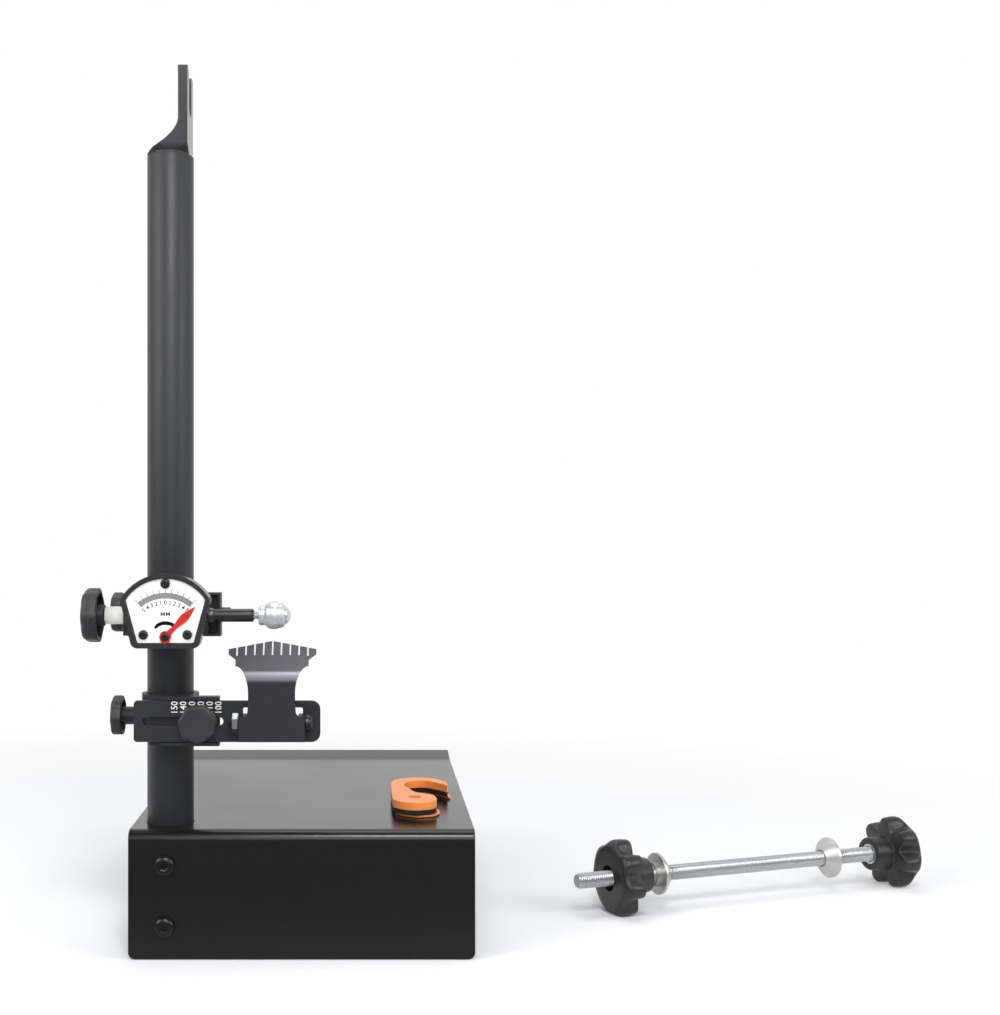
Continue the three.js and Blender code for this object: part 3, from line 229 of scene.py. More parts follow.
paper = bpy.data.materials.new("floor_paper")
tree = emptied(paper)
spot = put(tree, "ShaderNodeTexCoord").outputs["Object"]
away = put(tree, "ShaderNodeVectorMath", {0: spot}, operation="LENGTH").outputs["Value"]
fade = spread(tree, away, fade_start, fade_end)
behind = spread(tree, put(tree, "ShaderNodeSeparateXYZ", {0: spot}).outputs["Y"], front_start,
                front_end, kind="SMOOTHSTEP")
path = put(tree, "ShaderNodeLightPath").outputs
mirrored = path["Is Glossy Ray"]
seen = calc(tree, "MAXIMUM", path["Is Camera Ray"], calc(tree, "MULTIPLY", mirrored, behind))
in_front = calc(tree, "MULTIPLY", mirrored, calc(tree, "SUBTRACT", 1.0, behind))
dim = calc(tree, "SUBTRACT", 1.0, calc(tree, "MULTIPLY", in_front, 1 - front_gain))
grain = put(tree, "ShaderNodeTexNoise", {"Vector": spot, "Scale": paper_grain, "Detail": 3.0})
tint = spread(tree, grain.outputs["Fac"], 0, 1, paper_low, paper_high)
matt = put(tree, "ShaderNodeBsdfDiffuse", {"Color": calc(tree, "MULTIPLY", tint, dim)})
glow = put(tree, "ShaderNodeEmission", {"Strength": 1.0})
put(tree, "ShaderNodeOutputMaterial", {"Surface": mixed(
    tree, calc(tree, "MULTIPLY", fade, seen), matt.outputs[0], glow.outputs[0])})
floor_mesh.materials.append(paper)
print("floor is", 2 * floor_half, "m wide")

# %% [markdown]
# ## Finishes
# Every finish is built from noise at the scale of the real surface. Object coordinates are in
# metres, so a noise scale of 2000 gives specks of about half a millimetre. There are two noises:
# the roughness follows large clouds, the bump follows fine specks, and the colour a mix of both,
# because on a real surface the three don't line up.

# %% A finish from noise
cloud_share = 0.6         # how much of the colour follows the large clouds, not the specks
noise_low, noise_high = 0.3, 0.7       # nearly all of a noise lies between these values
bump_height = 1 * mm


def finish(name, colour, rough, shade=0.12, metal=0.0, grain=1800.0, bump=0.04, patch=45.0,
           specular=0.5):
    """A Principled material with patchy colour, uneven gloss and a fine bump."""
    made = bpy.data.materials.new(name)
    tree = emptied(made)
    spot = put(tree, "ShaderNodeTexCoord").outputs["Object"]
    clouds = put(tree, "ShaderNodeTexNoise", {
        "Vector": spot, "Scale": patch, "Detail": 5.0, "Roughness": 0.6}).outputs["Fac"]
    specks = put(tree, "ShaderNodeTexNoise", {
        "Vector": spot, "Scale": grain, "Detail": 2.0}).outputs["Fac"]
    ramp = put(tree, "ShaderNodeValToRGB", {"Fac": calc(
        tree, "MULTIPLY_ADD", specks, 1 - cloud_share,
        calc(tree, "MULTIPLY", clouds, cloud_share))})
    for stop, place, gain in zip(ramp.color_ramp.elements, (noise_low, noise_high),
                                 (1 - shade, 1 + shade)):
        stop.position = place
        stop.color = [channel * gain for channel in colour] + [1]
    relief = put(tree, "ShaderNodeBump", {
        "Height": specks, "Strength": bump, "Distance": bump_height})
    shader = put(tree, "ShaderNodeBsdfPrincipled", {
        "Base Color": ramp.outputs[0], "Metallic": metal, "Normal": relief.outputs[0],
        "Roughness": spread(tree, clouds, noise_low, noise_high, *rough),
        "Specular IOR Level": specular})
    put(tree, "ShaderNodeOutputMaterial", {"Surface": shader.outputs[0]})
    return made


black_coat = finish("satin_black_coat", (0.0145, 0.0156, 0.018), (0.42, 0.5), bump=0.03,
                    specular=0.45)
base_coat = finish("base_black_coat", (0.006, 0.006, 0.0065), (0.19, 0.25), bump=0.03,
                   grain=1100.0, patch=9.0, shade=0.06, specular=0.35)
dark_plastic = finish("moulded_dark_plastic", (0.022, 0.0225, 0.024), (0.4, 0.52), bump=0.08,
                      grain=3200.0, specular=0.4)
knob_plastic = finish("adapter_knob_plastic", (0.014, 0.0125, 0.0115), (0.3, 0.4), bump=0.06,
                      grain=3200.0, specular=0.45)
case_plastic = finish("glossy_case_plastic", (0.017, 0.017, 0.018), (0.24, 0.3), bump=0.0,
                      specular=0.8)
rod_black = finish("black_oxide_rod", (0.015, 0.015, 0.016), (0.26, 0.34), bump=0.01)
dark_steel = finish("dark_screw_steel", (0.03, 0.03, 0.033), (0.28, 0.38), metal=0.6, bump=0.01)
# The finish for the blade's right face is a painted sheen: its lighter beige stands in for the
# bright light that this face catches from the right.
right_face_sheen = finish("worn_head_face", (0.36, 0.345, 0.31), (0.35, 0.5), metal=0.7, bump=0.02,
                    shade=0.25, patch=160.0)
nylon = finish("white_nylon", (0.7, 0.69, 0.66), (0.38, 0.46), shade=0.03, bump=0.02)
dial_white = finish("dial_white", (0.83, 0.825, 0.79), (0.4, 0.46), shade=0.015, bump=0.004)
red_enamel = finish("red_enamel", (0.46, 0.02, 0.016), (0.26, 0.32), shade=0.05, bump=0.005)
orange = finish("orange_plastic", (0.86, 0.27, 0.06), (0.36, 0.44), shade=0.05, bump=0.02)
rubber = finish("black_rubber", (0.009, 0.009, 0.009), (0.6, 0.72), bump=0.08, grain=2600.0,
                specular=0.3)
ink_grey = finish("dial_grey_ink", (0.2, 0.2, 0.2), (0.42, 0.5), shade=0.03, bump=0.005)
ink_black = finish("dial_black_ink", (0.02, 0.02, 0.02), (0.42, 0.5), bump=0.005)
ink_white = finish("bar_white_ink", (0.75, 0.75, 0.74), (0.45, 0.55), shade=0.05, bump=0.01)
print("painted and plastic finishes:", len(bpy.data.materials) - 1)

# %% [markdown]
# On bright metal a noise finer than a pixel comes out as dark specks in the picture. These
# finishes share a coarse noise without a bump, and each changes only what differs.

# %% Bright metals
calm = {"metal": 1.0, "shade": 0.04, "patch": 14.0, "grain": 110.0, "bump": 0.0}
zinc = finish("bright_zinc", (0.46, 0.475, 0.49), (0.27, 0.33), **calm)
satin_zinc = finish("satin_cone_steel", (0.5, 0.5, 0.48), (0.34, 0.4), **calm)
tip_steel = finish("satin_tip_steel", (0.56, 0.58, 0.59), (0.3, 0.38), **{**calm, "metal": 0.55})
ball_steel = finish("polished_ball_steel", (0.6, 0.6, 0.59), (0.24, 0.28),
                    **{**calm, "metal": 0.7, "shade": 0.02})
plate_steel = finish("blue_grey_plate_steel", (0.11, 0.108, 0.126), (0.26, 0.32),
                     **{**calm, "shade": 0.05, "patch": 9.0, "grain": 70.0})
print("finishes with the floor's:", len(bpy.data.materials))

# %% [markdown]
# ## Turned and lobed parts
# Tubes, screws, nuts, hand knobs and the threaded rod follow one rule: half a profile is swept
# about an axis, and the radius may change with the angle, in lobes, in flats or along a thread.
# That rule suits Geometry Nodes. The profile is a line of points, and each point says by an
# attribute how far it follows the lobes, the flats or the thread, so a round hub, a hexagon
# socket and a lobed rim can share one part.

# %% Tree for turned parts
weld = 0.002 * mm         # points closer than this become one
least_pitch = 0.01 * mm   # keeps the thread's formula from dividing by zero


def node_tree(name, sockets, result):
    """A new Geometry Nodes tree with its inputs and one output, and the sockets of its inputs."""
    tree = bpy.data.node_groups.new(name, "GeometryNodeTree")
    for label, kind in sockets.items():
        tree.interface.new_socket(label, in_out="INPUT", socket_type="NodeSocket" + kind)
    tree.interface.new_socket(result, in_out="OUTPUT", socket_type="NodeSocketGeometry")
    return tree, put(tree, "NodeGroupInput").outputs


def end_tree(tree, shape, material):
    """End a tree: instances become real geometry, which gets one material."""
    real = put(tree, "GeometryNodeRealizeInstances", {"Geometry": shape})
    painted = put(tree, "GeometryNodeSetMaterial", {"Geometry": real.outputs[0],
                                                     "Material": material})
    put(tree, "NodeGroupOutput", {0: painted.outputs[0]})
    return tree


def turning_tree():
    """A grid whose rows are the profile's points and whose columns go round the axis."""
    tree, ask = node_tree("turned_part", {
        "Profile": "Geometry", "Steps": "Int", "Lobes": "Int", "Lobe Depth": "Float",
        "Lobe Width": "Float", "Flats": "Int", "Thread Pitch": "Float",
        "Thread Depth": "Float", "Finish": "Material"}, "Part")
    do = partial(calc, tree)
    count = put(tree, "GeometryNodeAttributeDomainSize",
                {"Geometry": ask["Profile"]}).outputs["Point Count"]
    grid = put(tree, "GeometryNodeMeshGrid", {
        "Size X": 1.0, "Size Y": 1.0, "Vertices X": count,
        "Vertices Y": do("ADD", ask["Steps"], 1.0)})
    position = put(tree, "GeometryNodeInputPosition").outputs[0]
    spot = put(tree, "ShaderNodeSeparateXYZ", {0: position}).outputs
    row = do("MULTIPLY", do("ADD", spot["X"], 0.5), do("SUBTRACT", count, 1.0))
    turn = do("MULTIPLY", do("ADD", spot["Y"], 0.5), 2 * math.pi)

    def sample(kind, value):
        """A value of the profile's point in this row of the grid."""
        return put(tree, "GeometryNodeSampleIndex", {
            "Geometry": ask["Profile"], "Value": value, "Index": do("ROUND", row)},
            data_type=kind, clamp=True).outputs[0]

    def mark(name):
        """How far the profile's point follows lobes, flats or thread."""
        return sample("FLOAT", put(tree, "GeometryNodeInputNamedAttribute", {"Name": name},
                                   data_type="FLOAT").outputs[0])

    point = put(tree, "ShaderNodeSeparateXYZ", {0: sample("FLOAT_VECTOR", position)}).outputs
    wave = do("COSINE", do("MULTIPLY", turn, ask["Lobes"]))
    dip = do("POWER", do("MULTIPLY", do("SUBTRACT", 1.0, wave), 0.5), ask["Lobe Width"])
    dip = do("MULTIPLY", dip, do("MULTIPLY", mark("lobed"), ask["Lobe Depth"]))
    half = do("DIVIDE", math.pi, do("MAXIMUM", ask["Flats"], 3.0))
    side = do("SUBTRACT", do("MODULO", turn, do("MULTIPLY", half, 2.0)), half)
    flat = do("DIVIDE", do("COSINE", half), do("COSINE", side))
    flat = do("MULTIPLY", do("SUBTRACT", 1.0, flat), mark("flatted"))
    along = do("DIVIDE", point["Z"], do("MAXIMUM", ask["Thread Pitch"], least_pitch))
    helix = do("SUBTRACT", along, do("DIVIDE", turn, 2 * math.pi))
    groove = do("MULTIPLY", do("PINGPONG", helix, 0.5), 2.0)
    groove = do("MULTIPLY", groove, do("MULTIPLY", mark("threaded"), ask["Thread Depth"]))
    share = do("SUBTRACT", do("SUBTRACT", 1.0, dip), flat)
    radius = do("SUBTRACT", do("MULTIPLY", point["X"], share), groove)
    place = put(tree, "ShaderNodeCombineXYZ", {
        "X": do("MULTIPLY", radius, do("COSINE", turn)),
        "Y": do("MULTIPLY", radius, do("SINE", turn)), "Z": point["Z"]})
    shaped = put(tree, "GeometryNodeSetPosition", {"Geometry": grid.outputs["Mesh"],
                                                    "Position": place.outputs[0]})
    closed = put(tree, "GeometryNodeMergeByDistance", {"Geometry": shaped.outputs[0],
                                                        "Distance": weld})
    return end_tree(tree, closed.outputs[0], ask["Finish"])


turning = turning_tree()
print("turned part tree:", len(turning.nodes), "nodes")

# %% [markdown]
# ## From a modifier to a plain mesh
# The finished pieces are plain meshes: the evaluated object is copied to a new mesh and the
# modifier is dropped. A modifier's inputs are addressed by the identifier of the socket, and
# are set before the object is first evaluated. A turned mesh may come out inside out, which
# the sign of its volume shows.

# %% Plain meshes


def built(name, shape, materials=()):
    """An object from an edited shape, which is used up."""
    mesh = bpy.data.meshes.new(name)
    shape.to_mesh(mesh)
    shape.free()
    for material in materials:
        mesh.materials.append(material)
    return linked(name, mesh)


def discard(piece):
    """Remove an object with its mesh."""
    old = piece.data
    bpy.data.objects.remove(piece)
    bpy.data.meshes.remove(old)


def evaluated(piece):
    """A new mesh of what an object looks like with its modifiers."""
    graph = bpy.context.evaluated_depsgraph_get()
    return bpy.data.meshes.new_from_object(piece.evaluated_get(graph))


def plain(piece):
    """Replace an object's modifiers by the mesh that they give."""
    old, piece.data = piece.data, evaluated(piece)
    piece.modifiers.clear()
    bpy.data.meshes.remove(old)
    piece.data.name = piece.name
    return piece


def face_outwards(mesh):
    """Turn the faces round where the signed volume shows that they point inwards."""
    mesh.calc_loop_triangles()
    points = [vertex.co for vertex in mesh.vertices]
    if sum(points[a].dot(points[b].cross(points[c]))
           for a, b, c in (triangle.vertices for triangle in mesh.loop_triangles)) < 0:
        mesh.flip_normals()


def stood_on(origin, axis):
    """The move from upright at zero to a place and an axis."""
    tilt = Vector((0, 0, 1)).rotation_difference(Vector(axis))
    return Matrix.Translation(origin) @ tilt.to_matrix().to_4x4()


def smooth(piece, angle=28):
    """Soft shading across curves, with sharp edges where faces meet at more than the angle."""
    piece.data.polygons.foreach_set("use_smooth", [True] * len(piece.data.polygons))
    piece.data.set_sharp_from_angle(angle=math.radians(angle))
    return piece


def nodes_on(piece, tree, sizes):
    """Put a Geometry Nodes tree on a piece, with its named inputs set."""
    modifier = piece.modifiers.new(tree.name, "NODES")
    modifier.node_group = tree
    for item in tree.interface.items_tree:
        if item.name in sizes:
            modifier[item.identifier] = sizes[item.name]
    return plain(piece)


print("mesh helpers ready")

# %% Turned part
followed = ("lobed", "flatted", "threaded")      # what a radius can follow


def turned(name, profile, origin, axis, material, steps=96, spin=0.0, lobes=0, lobe_depth=0.0,
           lobe_width=1.0, flats=0, pitch=1.0, thread_depth=0.0):
    """A part turned about an axis. Profile rows are (along, radius) in metres. A third word
    says what the radius follows there: lobed, flatted or threaded, and a fourth value how far
    it does so."""
    rows = [(*row, "") if len(row) == 2 else row for row in profile]
    mesh = bpy.data.meshes.new(name)
    mesh.from_pydata([(row[1], 0, row[0]) for row in rows],
                     [(i, i + 1) for i in range(len(rows) - 1)], [])
    for mark in followed:
        values = mesh.attributes.new(mark, "FLOAT", "POINT")
        values.data.foreach_set("value", [
            row[3] if len(row) > 3 and row[2] == mark else float(row[2] == mark) for row in rows])
    piece = nodes_on(linked(name, mesh), turning, {
        "Steps": steps, "Lobes": lobes, "Lobe Depth": lobe_depth, "Lobe Width": lobe_width,
        "Flats": flats, "Thread Pitch": pitch, "Thread Depth": thread_depth,
        "Finish": material})
    for mark in followed:
        if mark in piece.data.attributes:
            piece.data.attributes.remove(piece.data.attributes[mark])
    face_outwards(piece.data)
    piece.data.transform(stood_on(origin, axis) @ Matrix.Rotation(math.radians(spin), 4, "Z"))
    return smooth(piece)


def dress(piece, body, slot, *nodes):
    """Let a finished piece stand for CAD nodes and ride on their body. The slot is not used."""
    if nodes:
        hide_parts(*nodes)
    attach(piece, body)
    print(piece.name, "on", body, len(piece.data.polygons), "faces")
    return piece


print("turned parts ready")

# %% [markdown]
# ## Parts cut from sheet and block
# The rest starts from a flat outline that is extruded, joined to others and cut. Boolean
# modifiers do the cutting, and a Bevel modifier then breaks every sharp edge by a few tenths of
# a millimetre, because it is the light that these edges catch that makes a dark part readable.
# Outlines that are symmetric are drawn as a right half, round zero, and then moved.

# %% Outlines


def arc(x, y, radius, start, end, steps=12):
    """Points along an arc, angles in degrees."""
    angles = [math.radians(start + (end - start) * step / steps) for step in range(steps + 1)]
    return [(x + radius * math.cos(angle), y + radius * math.sin(angle)) for angle in angles]


def circle(x, y, radius, steps=64):
    """Points round a circle."""
    return arc(x, y, radius, 0, 360, steps)[:-1]


def moved(points, x, y):
    """The same outline at another place."""
    return [(x + across, y + up) for across, up in points]


def both_sides(half):
    """An outline from its right half: the half, and its mirror image on the way back."""
    return half + [(-x, y) for x, y in half[::-1] if x]


def rounded(x0, x1, y0, y1, *radii):
    """A rectangle with its own radius at each corner, from lower left anticlockwise."""
    points = []
    for x, y, start, radius in zip((x0, x1, x1, x0), (y0, y0, y1, y1), (180, 270, 0, 90), radii):
        inwards_x = radius if x == x0 else -radius
        inwards_y = radius if y == y0 else -radius
        points += [(x, y)] if radius == 0 else arc(x + inwards_x, y + inwards_y, radius, start,
                                                    start + 90, 8)
    return points


def bent(path, thickness, inner_radius, steps=10):
    """The outline of a bent sheet from the corners of its middle line."""
    middle = inner_radius + thickness / 2
    left, right = [], []

    def put_pair(x, y, heading):
        """Add the outer and the inner point beside a point of the middle line."""
        nx, ny = -math.sin(heading) * thickness / 2, math.cos(heading) * thickness / 2
        left.append((x + nx, y + ny))
        right.append((x - nx, y - ny))

    headings = [math.atan2(b[1] - a[1], b[0] - a[0]) for a, b in zip(path, path[1:])]
    put_pair(*path[0], headings[0])
    for (x, y), before, after in zip(path[1:], headings, headings[1:]):
        turn = (after - before + math.pi) % (2 * math.pi) - math.pi
        side = math.copysign(1, turn)
        setback = middle * math.tan(abs(turn) / 2)
        x -= setback * math.cos(before) + side * middle * math.sin(before)
        y -= setback * math.sin(before) - side * middle * math.cos(before)
        for step in range(steps + 1):
            heading = before + turn * step / steps
            put_pair(x + side * middle * math.sin(heading), y - side * middle * math.cos(heading),
                     heading)
    put_pair(*path[-1], headings[-1])
    return left[::-1] + right


print("a rounded corner has", len(arc(0, 0, 1, 0, 90, 8)), "points")

# %% Extrude, join and cut
past = 5 * mm             # how far a cutting shape runs past a face
close_up = 0.004 * mm     # points closer than this become one before the edges are broken
nearly_flat = math.radians(1)


def prism(points, axis, start, end, name="cutter"):
    """A closed extrusion of a flat outline. Along X the outline is (y, z), along Y (x, z)
    and along Z (x, y)."""
    corners = []
    for along in (start, end):
        for point in points:
            corners.append(list(point))
            corners[-1].insert("XYZ".index(axis), along)
    count = len(points)
    sides = [(i, (i + 1) % count, (i + 1) % count + count, i + count) for i in range(count)]
    mesh = bpy.data.meshes.new(name)
    mesh.from_pydata(corners, [], [
        tuple(range(count))[::-1], tuple(range(count, 2 * count)), *sides])
    face_outwards(mesh)
    return linked(name, mesh)


def through(points, axis, start, end, name="cutter"):
    """A prism that runs past both ends, to cut through what lies between them."""
    return prism(points, axis, start - past, end + past, name)


def block(x0, x1, y0, y1, z0, z1):
    """A box between three pairs of limits."""
    return prism([(x0, y0), (x1, y0), (x1, y1), (x0, y1)], "Z", z0, z1)


def work(piece, operation, *others):
    """Join, cut or intersect a piece with others, which are used up."""
    for other in others:
        modifier = piece.modifiers.new("cut", "BOOLEAN")
        modifier.operation = operation
        modifier.solver = "EXACT"
        modifier.object = other
        plain(piece)
        discard(other)
    return piece


def soften(piece, material, width, segments=2, angle=32):
    """Break the sharp edges, close the mesh and give it its finish. Large faces then decide
    how light falls on the narrow ones beside them, so that flat faces look flat."""
    shape = bmesh.new()
    shape.from_mesh(piece.data)
    bmesh.ops.remove_doubles(shape, verts=shape.verts, dist=close_up)
    bmesh.ops.dissolve_limit(shape, angle_limit=nearly_flat, verts=shape.verts,
                             edges=shape.edges)
    shape.to_mesh(piece.data)
    shape.free()
    if width:
        modifier = piece.modifiers.new("edges", "BEVEL")
        modifier.width = width
        modifier.segments = segments
        modifier.limit_method = "ANGLE"
        modifier.angle_limit = math.radians(angle)
        plain(piece)
    piece.data.materials.clear()
    piece.data.materials.append(material)
    smooth(piece)
    piece.modifiers.new("flat_faces", "WEIGHTED_NORMAL").keep_sharp = True
    return plain(piece)


print("cutting tools ready")

# %% [markdown]
# ## Base
# The base is one steel sheet folded down at the front and the rear, open at both sides, with a
# shallow upward crease near the rear. The bends are what the eye reads, so the outline is drawn
# as a bent strip with true radii and extruded across the width.

# %% Base sheet
sheet = 3 * mm
bend_radius = 3 * mm
flange_corner = 4 * mm
crease_run, crease_rise = 30 * mm, 4 * mm
base_top = 73 * mm
base_edge = 0.45 * mm
clearance = 0.3 * mm

base_low, base_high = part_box("base_sheet")
column_low, column_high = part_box("column_tube")
column_x, column_y = ((column_low + column_high) / 2).xy
column_radius = (column_high - column_low).x / 2
front_mid, rear_mid = base_low.y + sheet / 2, base_high.y - sheet / 2
top_mid = base_top - sheet / 2

base = prism(bent([(front_mid, 0), (front_mid, top_mid), (rear_mid - crease_run, top_mid),
                   (rear_mid, top_mid + crease_rise), (rear_mid, 0)], sheet, bend_radius),
             "X", base_low.x, base_high.x, "base")
work(base, "INTERSECT", through(
    rounded(base_low.x, base_high.x, 0, base_high.z + past, flange_corner, flange_corner, 0, 0),
    "Y", base_low.y, base_high.y))
work(base, "DIFFERENCE", through(circle(column_x, column_y, column_radius + clearance, 96), "Z",
                                 base_top - sheet, base_high.z))
soften(base, base_coat, base_edge, 3)
dress(base, "stand", "black_coat", "base_sheet")

# %% [markdown]
# ## Column
# The column is a plain round tube. Its soft vertical highlights need a true circle, so it is
# turned in many steps. A small round at the top edge makes the fine line that shows where the
# slotted head begins.

# %% Column tube
tube_wall, tube_edge = 2.5 * mm, 0.5 * mm
round_share = 0.3         # a round's middle lies this far in, as a share of its radius


def ring_profile(low, high, outer, inner, edge):
    """The closed profile of a ring with softened edges."""
    part = edge * round_share
    return [(low, inner), (low, outer - edge), (low + part, outer - part), (low + edge, outer),
            (high - edge, outer), (high - part, outer - part), (high, outer - edge),
            (high, inner), (low, inner)]


tube = turned("column", ring_profile(column_low.z, column_high.z, column_radius,
                                     column_radius - tube_wall, tube_edge),
              (column_x, column_y, 0), (0, 0, 1), black_coat, steps=128)
dress(tube, "stand", "black_coat", "column_tube")

# %% [markdown]
# ## Slotted head
# The head is a round foot that sweeps up into a flat blade with an open slot for the axle. It
# is the overlap of three simple solids: the side view with its curve, the tightest hull round
# an oval foot and the blade's full width, and the view from the right with rounded shoulders.
# Intersecting them gives the real edges where the sweep runs out of the round foot.

# %% Column head
blade_thickness, blade_edge = 5.5 * mm, 0.6 * mm
curve_height, curve_power, curve_steps = 19.4 * mm, 0.8, 40
blend_height = 4.4 * mm   # from the tube's round to the full width of the blade
neck_height, neck_inset, neck_overlap = 0.6 * mm, 0.7 * mm, 0.5 * mm
foot_inset = 1.6 * mm     # how far inside the tube's front and rear the head starts
rear_drop = 2.2 * mm      # the rear prong is a little shorter
shoulder_radius = 2 * mm
slot_half, slot_depth, slot_mouth = 5.25 * mm, 27 * mm, 4 * mm
facing_right = 0.99       # a normal's X from which a face counts as the blade's right side

head_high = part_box("column_head")[1]
blade_right, head_top = head_high.x, head_high.z
blade_left = blade_right - blade_thickness
foot = column_high.z + clearance + neck_height
near, far = column_y - column_radius, column_y + column_radius


def blade_side_view():
    """The curve of the left side, from the foot up to the blade, then the straight right."""
    curve = []
    for share in [step / curve_steps for step in range(curve_steps + 1)]:
        ease = math.sin(share * math.pi / 2) ** curve_power
        curve.append((-column_radius + (blade_left + column_radius) * ease,
                      foot + curve_height * share))
    return curve + [(blade_left, head_top), (blade_right, head_top), (blade_right, foot)]


def hull(name, points):
    """The tightest solid without hollows round some points."""
    shape = bmesh.new()
    for point in points:
        shape.verts.new(point)
    result = bmesh.ops.convex_hull(shape, input=shape.verts)
    inner = [item for item in result["geom_interior"] if isinstance(item, bmesh.types.BMVert)]
    bmesh.ops.delete(shape, geom=inner, context="VERTS")
    bmesh.ops.recalc_face_normals(shape, faces=shape.faces)
    return built(name, shape)


def flattened(radius):
    """The column's circle without the part to the right of the blade."""
    side = math.degrees(math.acos(blade_right / radius))
    return arc(0, 0, radius, side, 360 - side, 96)


foot_oval = [(x, y * (1 - foot_inset / column_radius)) for x, y in flattened(column_radius)]
pillar = hull("pillar", [(x, y, foot) for x, y in moved(foot_oval, column_x, column_y)] + [
    (x, y, z) for x in (-column_radius, blade_right) for y in (near, far)
    for z in (foot + blend_height, head_top + past)])
head = through(blade_side_view(), "Y", near, far, "column_head_piece")
work(head, "INTERSECT", pillar, through(
    rounded(near, far, foot - past, head_top, 0, 0, shoulder_radius, shoulder_radius), "X",
    -column_radius, blade_right))
mouth_half, mouth_floor = slot_half + slot_mouth + past, head_top - slot_mouth
slot = arc(column_y, head_top - slot_depth + slot_half, slot_half, 180, 360, 24) + [
    (column_y + slot_half, mouth_floor), (column_y + mouth_half, head_top + past),
    (column_y - mouth_half, head_top + past), (column_y - slot_half, mouth_floor)]
work(head, "DIFFERENCE", through(slot, "X", blade_left, blade_right), block(
    blade_left - past, blade_right + past, column_y, far + past, head_top - rear_drop,
    head_top + past))
work(head, "UNION", prism(
    moved(flattened(column_radius - neck_inset), column_x, column_y), "Z",
    column_high.z - sheet, foot + neck_overlap))
soften(head, black_coat, blade_edge, 3)
# The faces of the blade that look to the right get the lighter finish, a painted sheen for the
# light that this side catches.
head.data.materials.append(right_face_sheen)
for face in head.data.polygons:
    face.material_index = int(face.normal.x > facing_right
                              and face.center.x > blade_right - past)
dress(head, "stand", "black_coat", "column_head")

# %% [markdown]
# ## Screws
# Domed socket screws hold the column, and smaller ones hold the dial and its pointer. One
# profile makes them all: a shallow dome with a hexagon socket. They are turned lying along Y,
# because every one of them looks out of the front.

# %% Socket screws
dome_start = 0.35         # the height at which the dome starts, as a share of the head's
socket_mouth, socket_drill = 1.12, 1.15     # how much wider and deeper than the hexagon
column_screw = {"head_height": 3.4 * mm, "socket_radius": 2.3 * mm, "socket_depth": 2 * mm,
                "shank_radius": 3 * mm, "rim": 0.15 * mm}


def dome(seat, top, radius, steps=8):
    """Profile of a screw's dome, which narrows to half its radius at the top."""
    turns = [math.pi / 2 * step / steps for step in range(1, steps + 1)]
    return [(seat + (top - seat) * (dome_start + (1 - dome_start) * math.sin(turn)),
             radius * (1 + math.cos(turn)) / 2) for turn in turns]


def socket_screw(name, place, material, spin, length, head_radius, head_height, socket_radius,
                 socket_depth, shank_radius, rim):
    """A domed screw facing the front; place is the middle of the seat under its head."""
    profile = [(-length, 0), (-length, shank_radius), (0, shank_radius), (0, head_radius - rim),
               (rim, head_radius), *dome(0, head_height, head_radius),
               (head_height, socket_radius * socket_mouth, "flatted"),
               (head_height - rim, socket_radius, "flatted"),
               (head_height - socket_depth, socket_radius, "flatted"),
               (head_height - socket_depth * socket_drill, 0)]
    return turned(name, profile, place, (0, -1, 0), material, steps=72, flats=6, spin=spin)


def gather(name, parts):
    """Join several pieces into one."""
    shape = bmesh.new()
    for part in parts:
        shape.from_mesh(part.data)
    joined = built(name, shape, parts[0].data.materials)
    for part in parts:
        discard(part)
    return smooth(joined)


screws = []
for node, spin in (("column_screw_lower", 14), ("column_screw_upper", 40)):
    low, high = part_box(node)
    middle = (low + high) / 2
    screws.append(socket_screw(
        node + "_turned", (middle.x, base_low.y, middle.z), base_coat, spin,
        high.y - base_low.y, (high.x - low.x) / 2, **column_screw))
dress(gather("column_screws", screws), "stand", "dark_steel", "column_screw_lower",
      "column_screw_upper")

# %% [markdown]
# ## Column clamps
# Both gauges hang on rings that slide on the column. Each ring is cast in one piece with a side
# boss for its clamp screw and a flat pad at the front. The upper pad is hollow with a thin rim,
# and the lower one is a channel that the slide bar runs in.

# %% Gauge clamp
boss_radius, boss_reach = 6.5 * mm, 20 * mm
pad_left, pad_back, pad_rim = -22 * mm, 14 * mm, 1.3 * mm
pocket_left, pocket_depth = 20 * mm, 4.5 * mm
ear_length, ear_radius, ear_rise, ear_gap = 5.9 * mm, 2.5 * mm, 1.5 * mm, 0.4 * mm
overlap = 1 * mm          # how far a joined shape reaches into its neighbour
running_gap = 0.35 * mm
gauge_clamp_edge = 0.6 * mm

clamp_low, clamp_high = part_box("gauge_clamp")
gauge_height = (clamp_low.z + clamp_high.z) / 2
pad_right = clamp_high.x - ear_length


def clamp(name, floor, top, back, height):
    """The ring and its side boss, before the bore is cut."""
    ring = prism(circle(column_x, column_y, back - column_y, 112), "Z", floor, top, name)
    return work(ring, "UNION", prism(circle(column_y, height, boss_radius, 48), "X",
                                     -boss_reach, column_x))


def column_bore(floor, top):
    """The cutter for the hole that slides on the column."""
    return through(circle(column_x, column_y, column_radius + running_gap, 112), "Z", floor, top)


gauge_clamp = clamp("gauge_clamp_piece", clamp_low.z, clamp_high.z, clamp_high.y, gauge_height)
work(gauge_clamp, "UNION",
     block(pad_left, pad_right, clamp_low.y, pad_back, clamp_low.z, clamp_high.z),
     prism(circle(clamp_low.y + ear_radius, gauge_height + ear_rise, ear_radius, 32), "X",
           pad_right - overlap, clamp_high.x - ear_gap))
work(gauge_clamp, "DIFFERENCE", column_bore(clamp_low.z, clamp_high.z),
     block(pocket_left, pad_right - pad_rim, clamp_low.y - past, clamp_low.y + pocket_depth,
           clamp_low.z + pad_rim, clamp_high.z - pad_rim))
soften(gauge_clamp, black_coat, gauge_clamp_edge, 3)
dress(gauge_clamp, "gauge", "black_coat", "gauge_clamp")

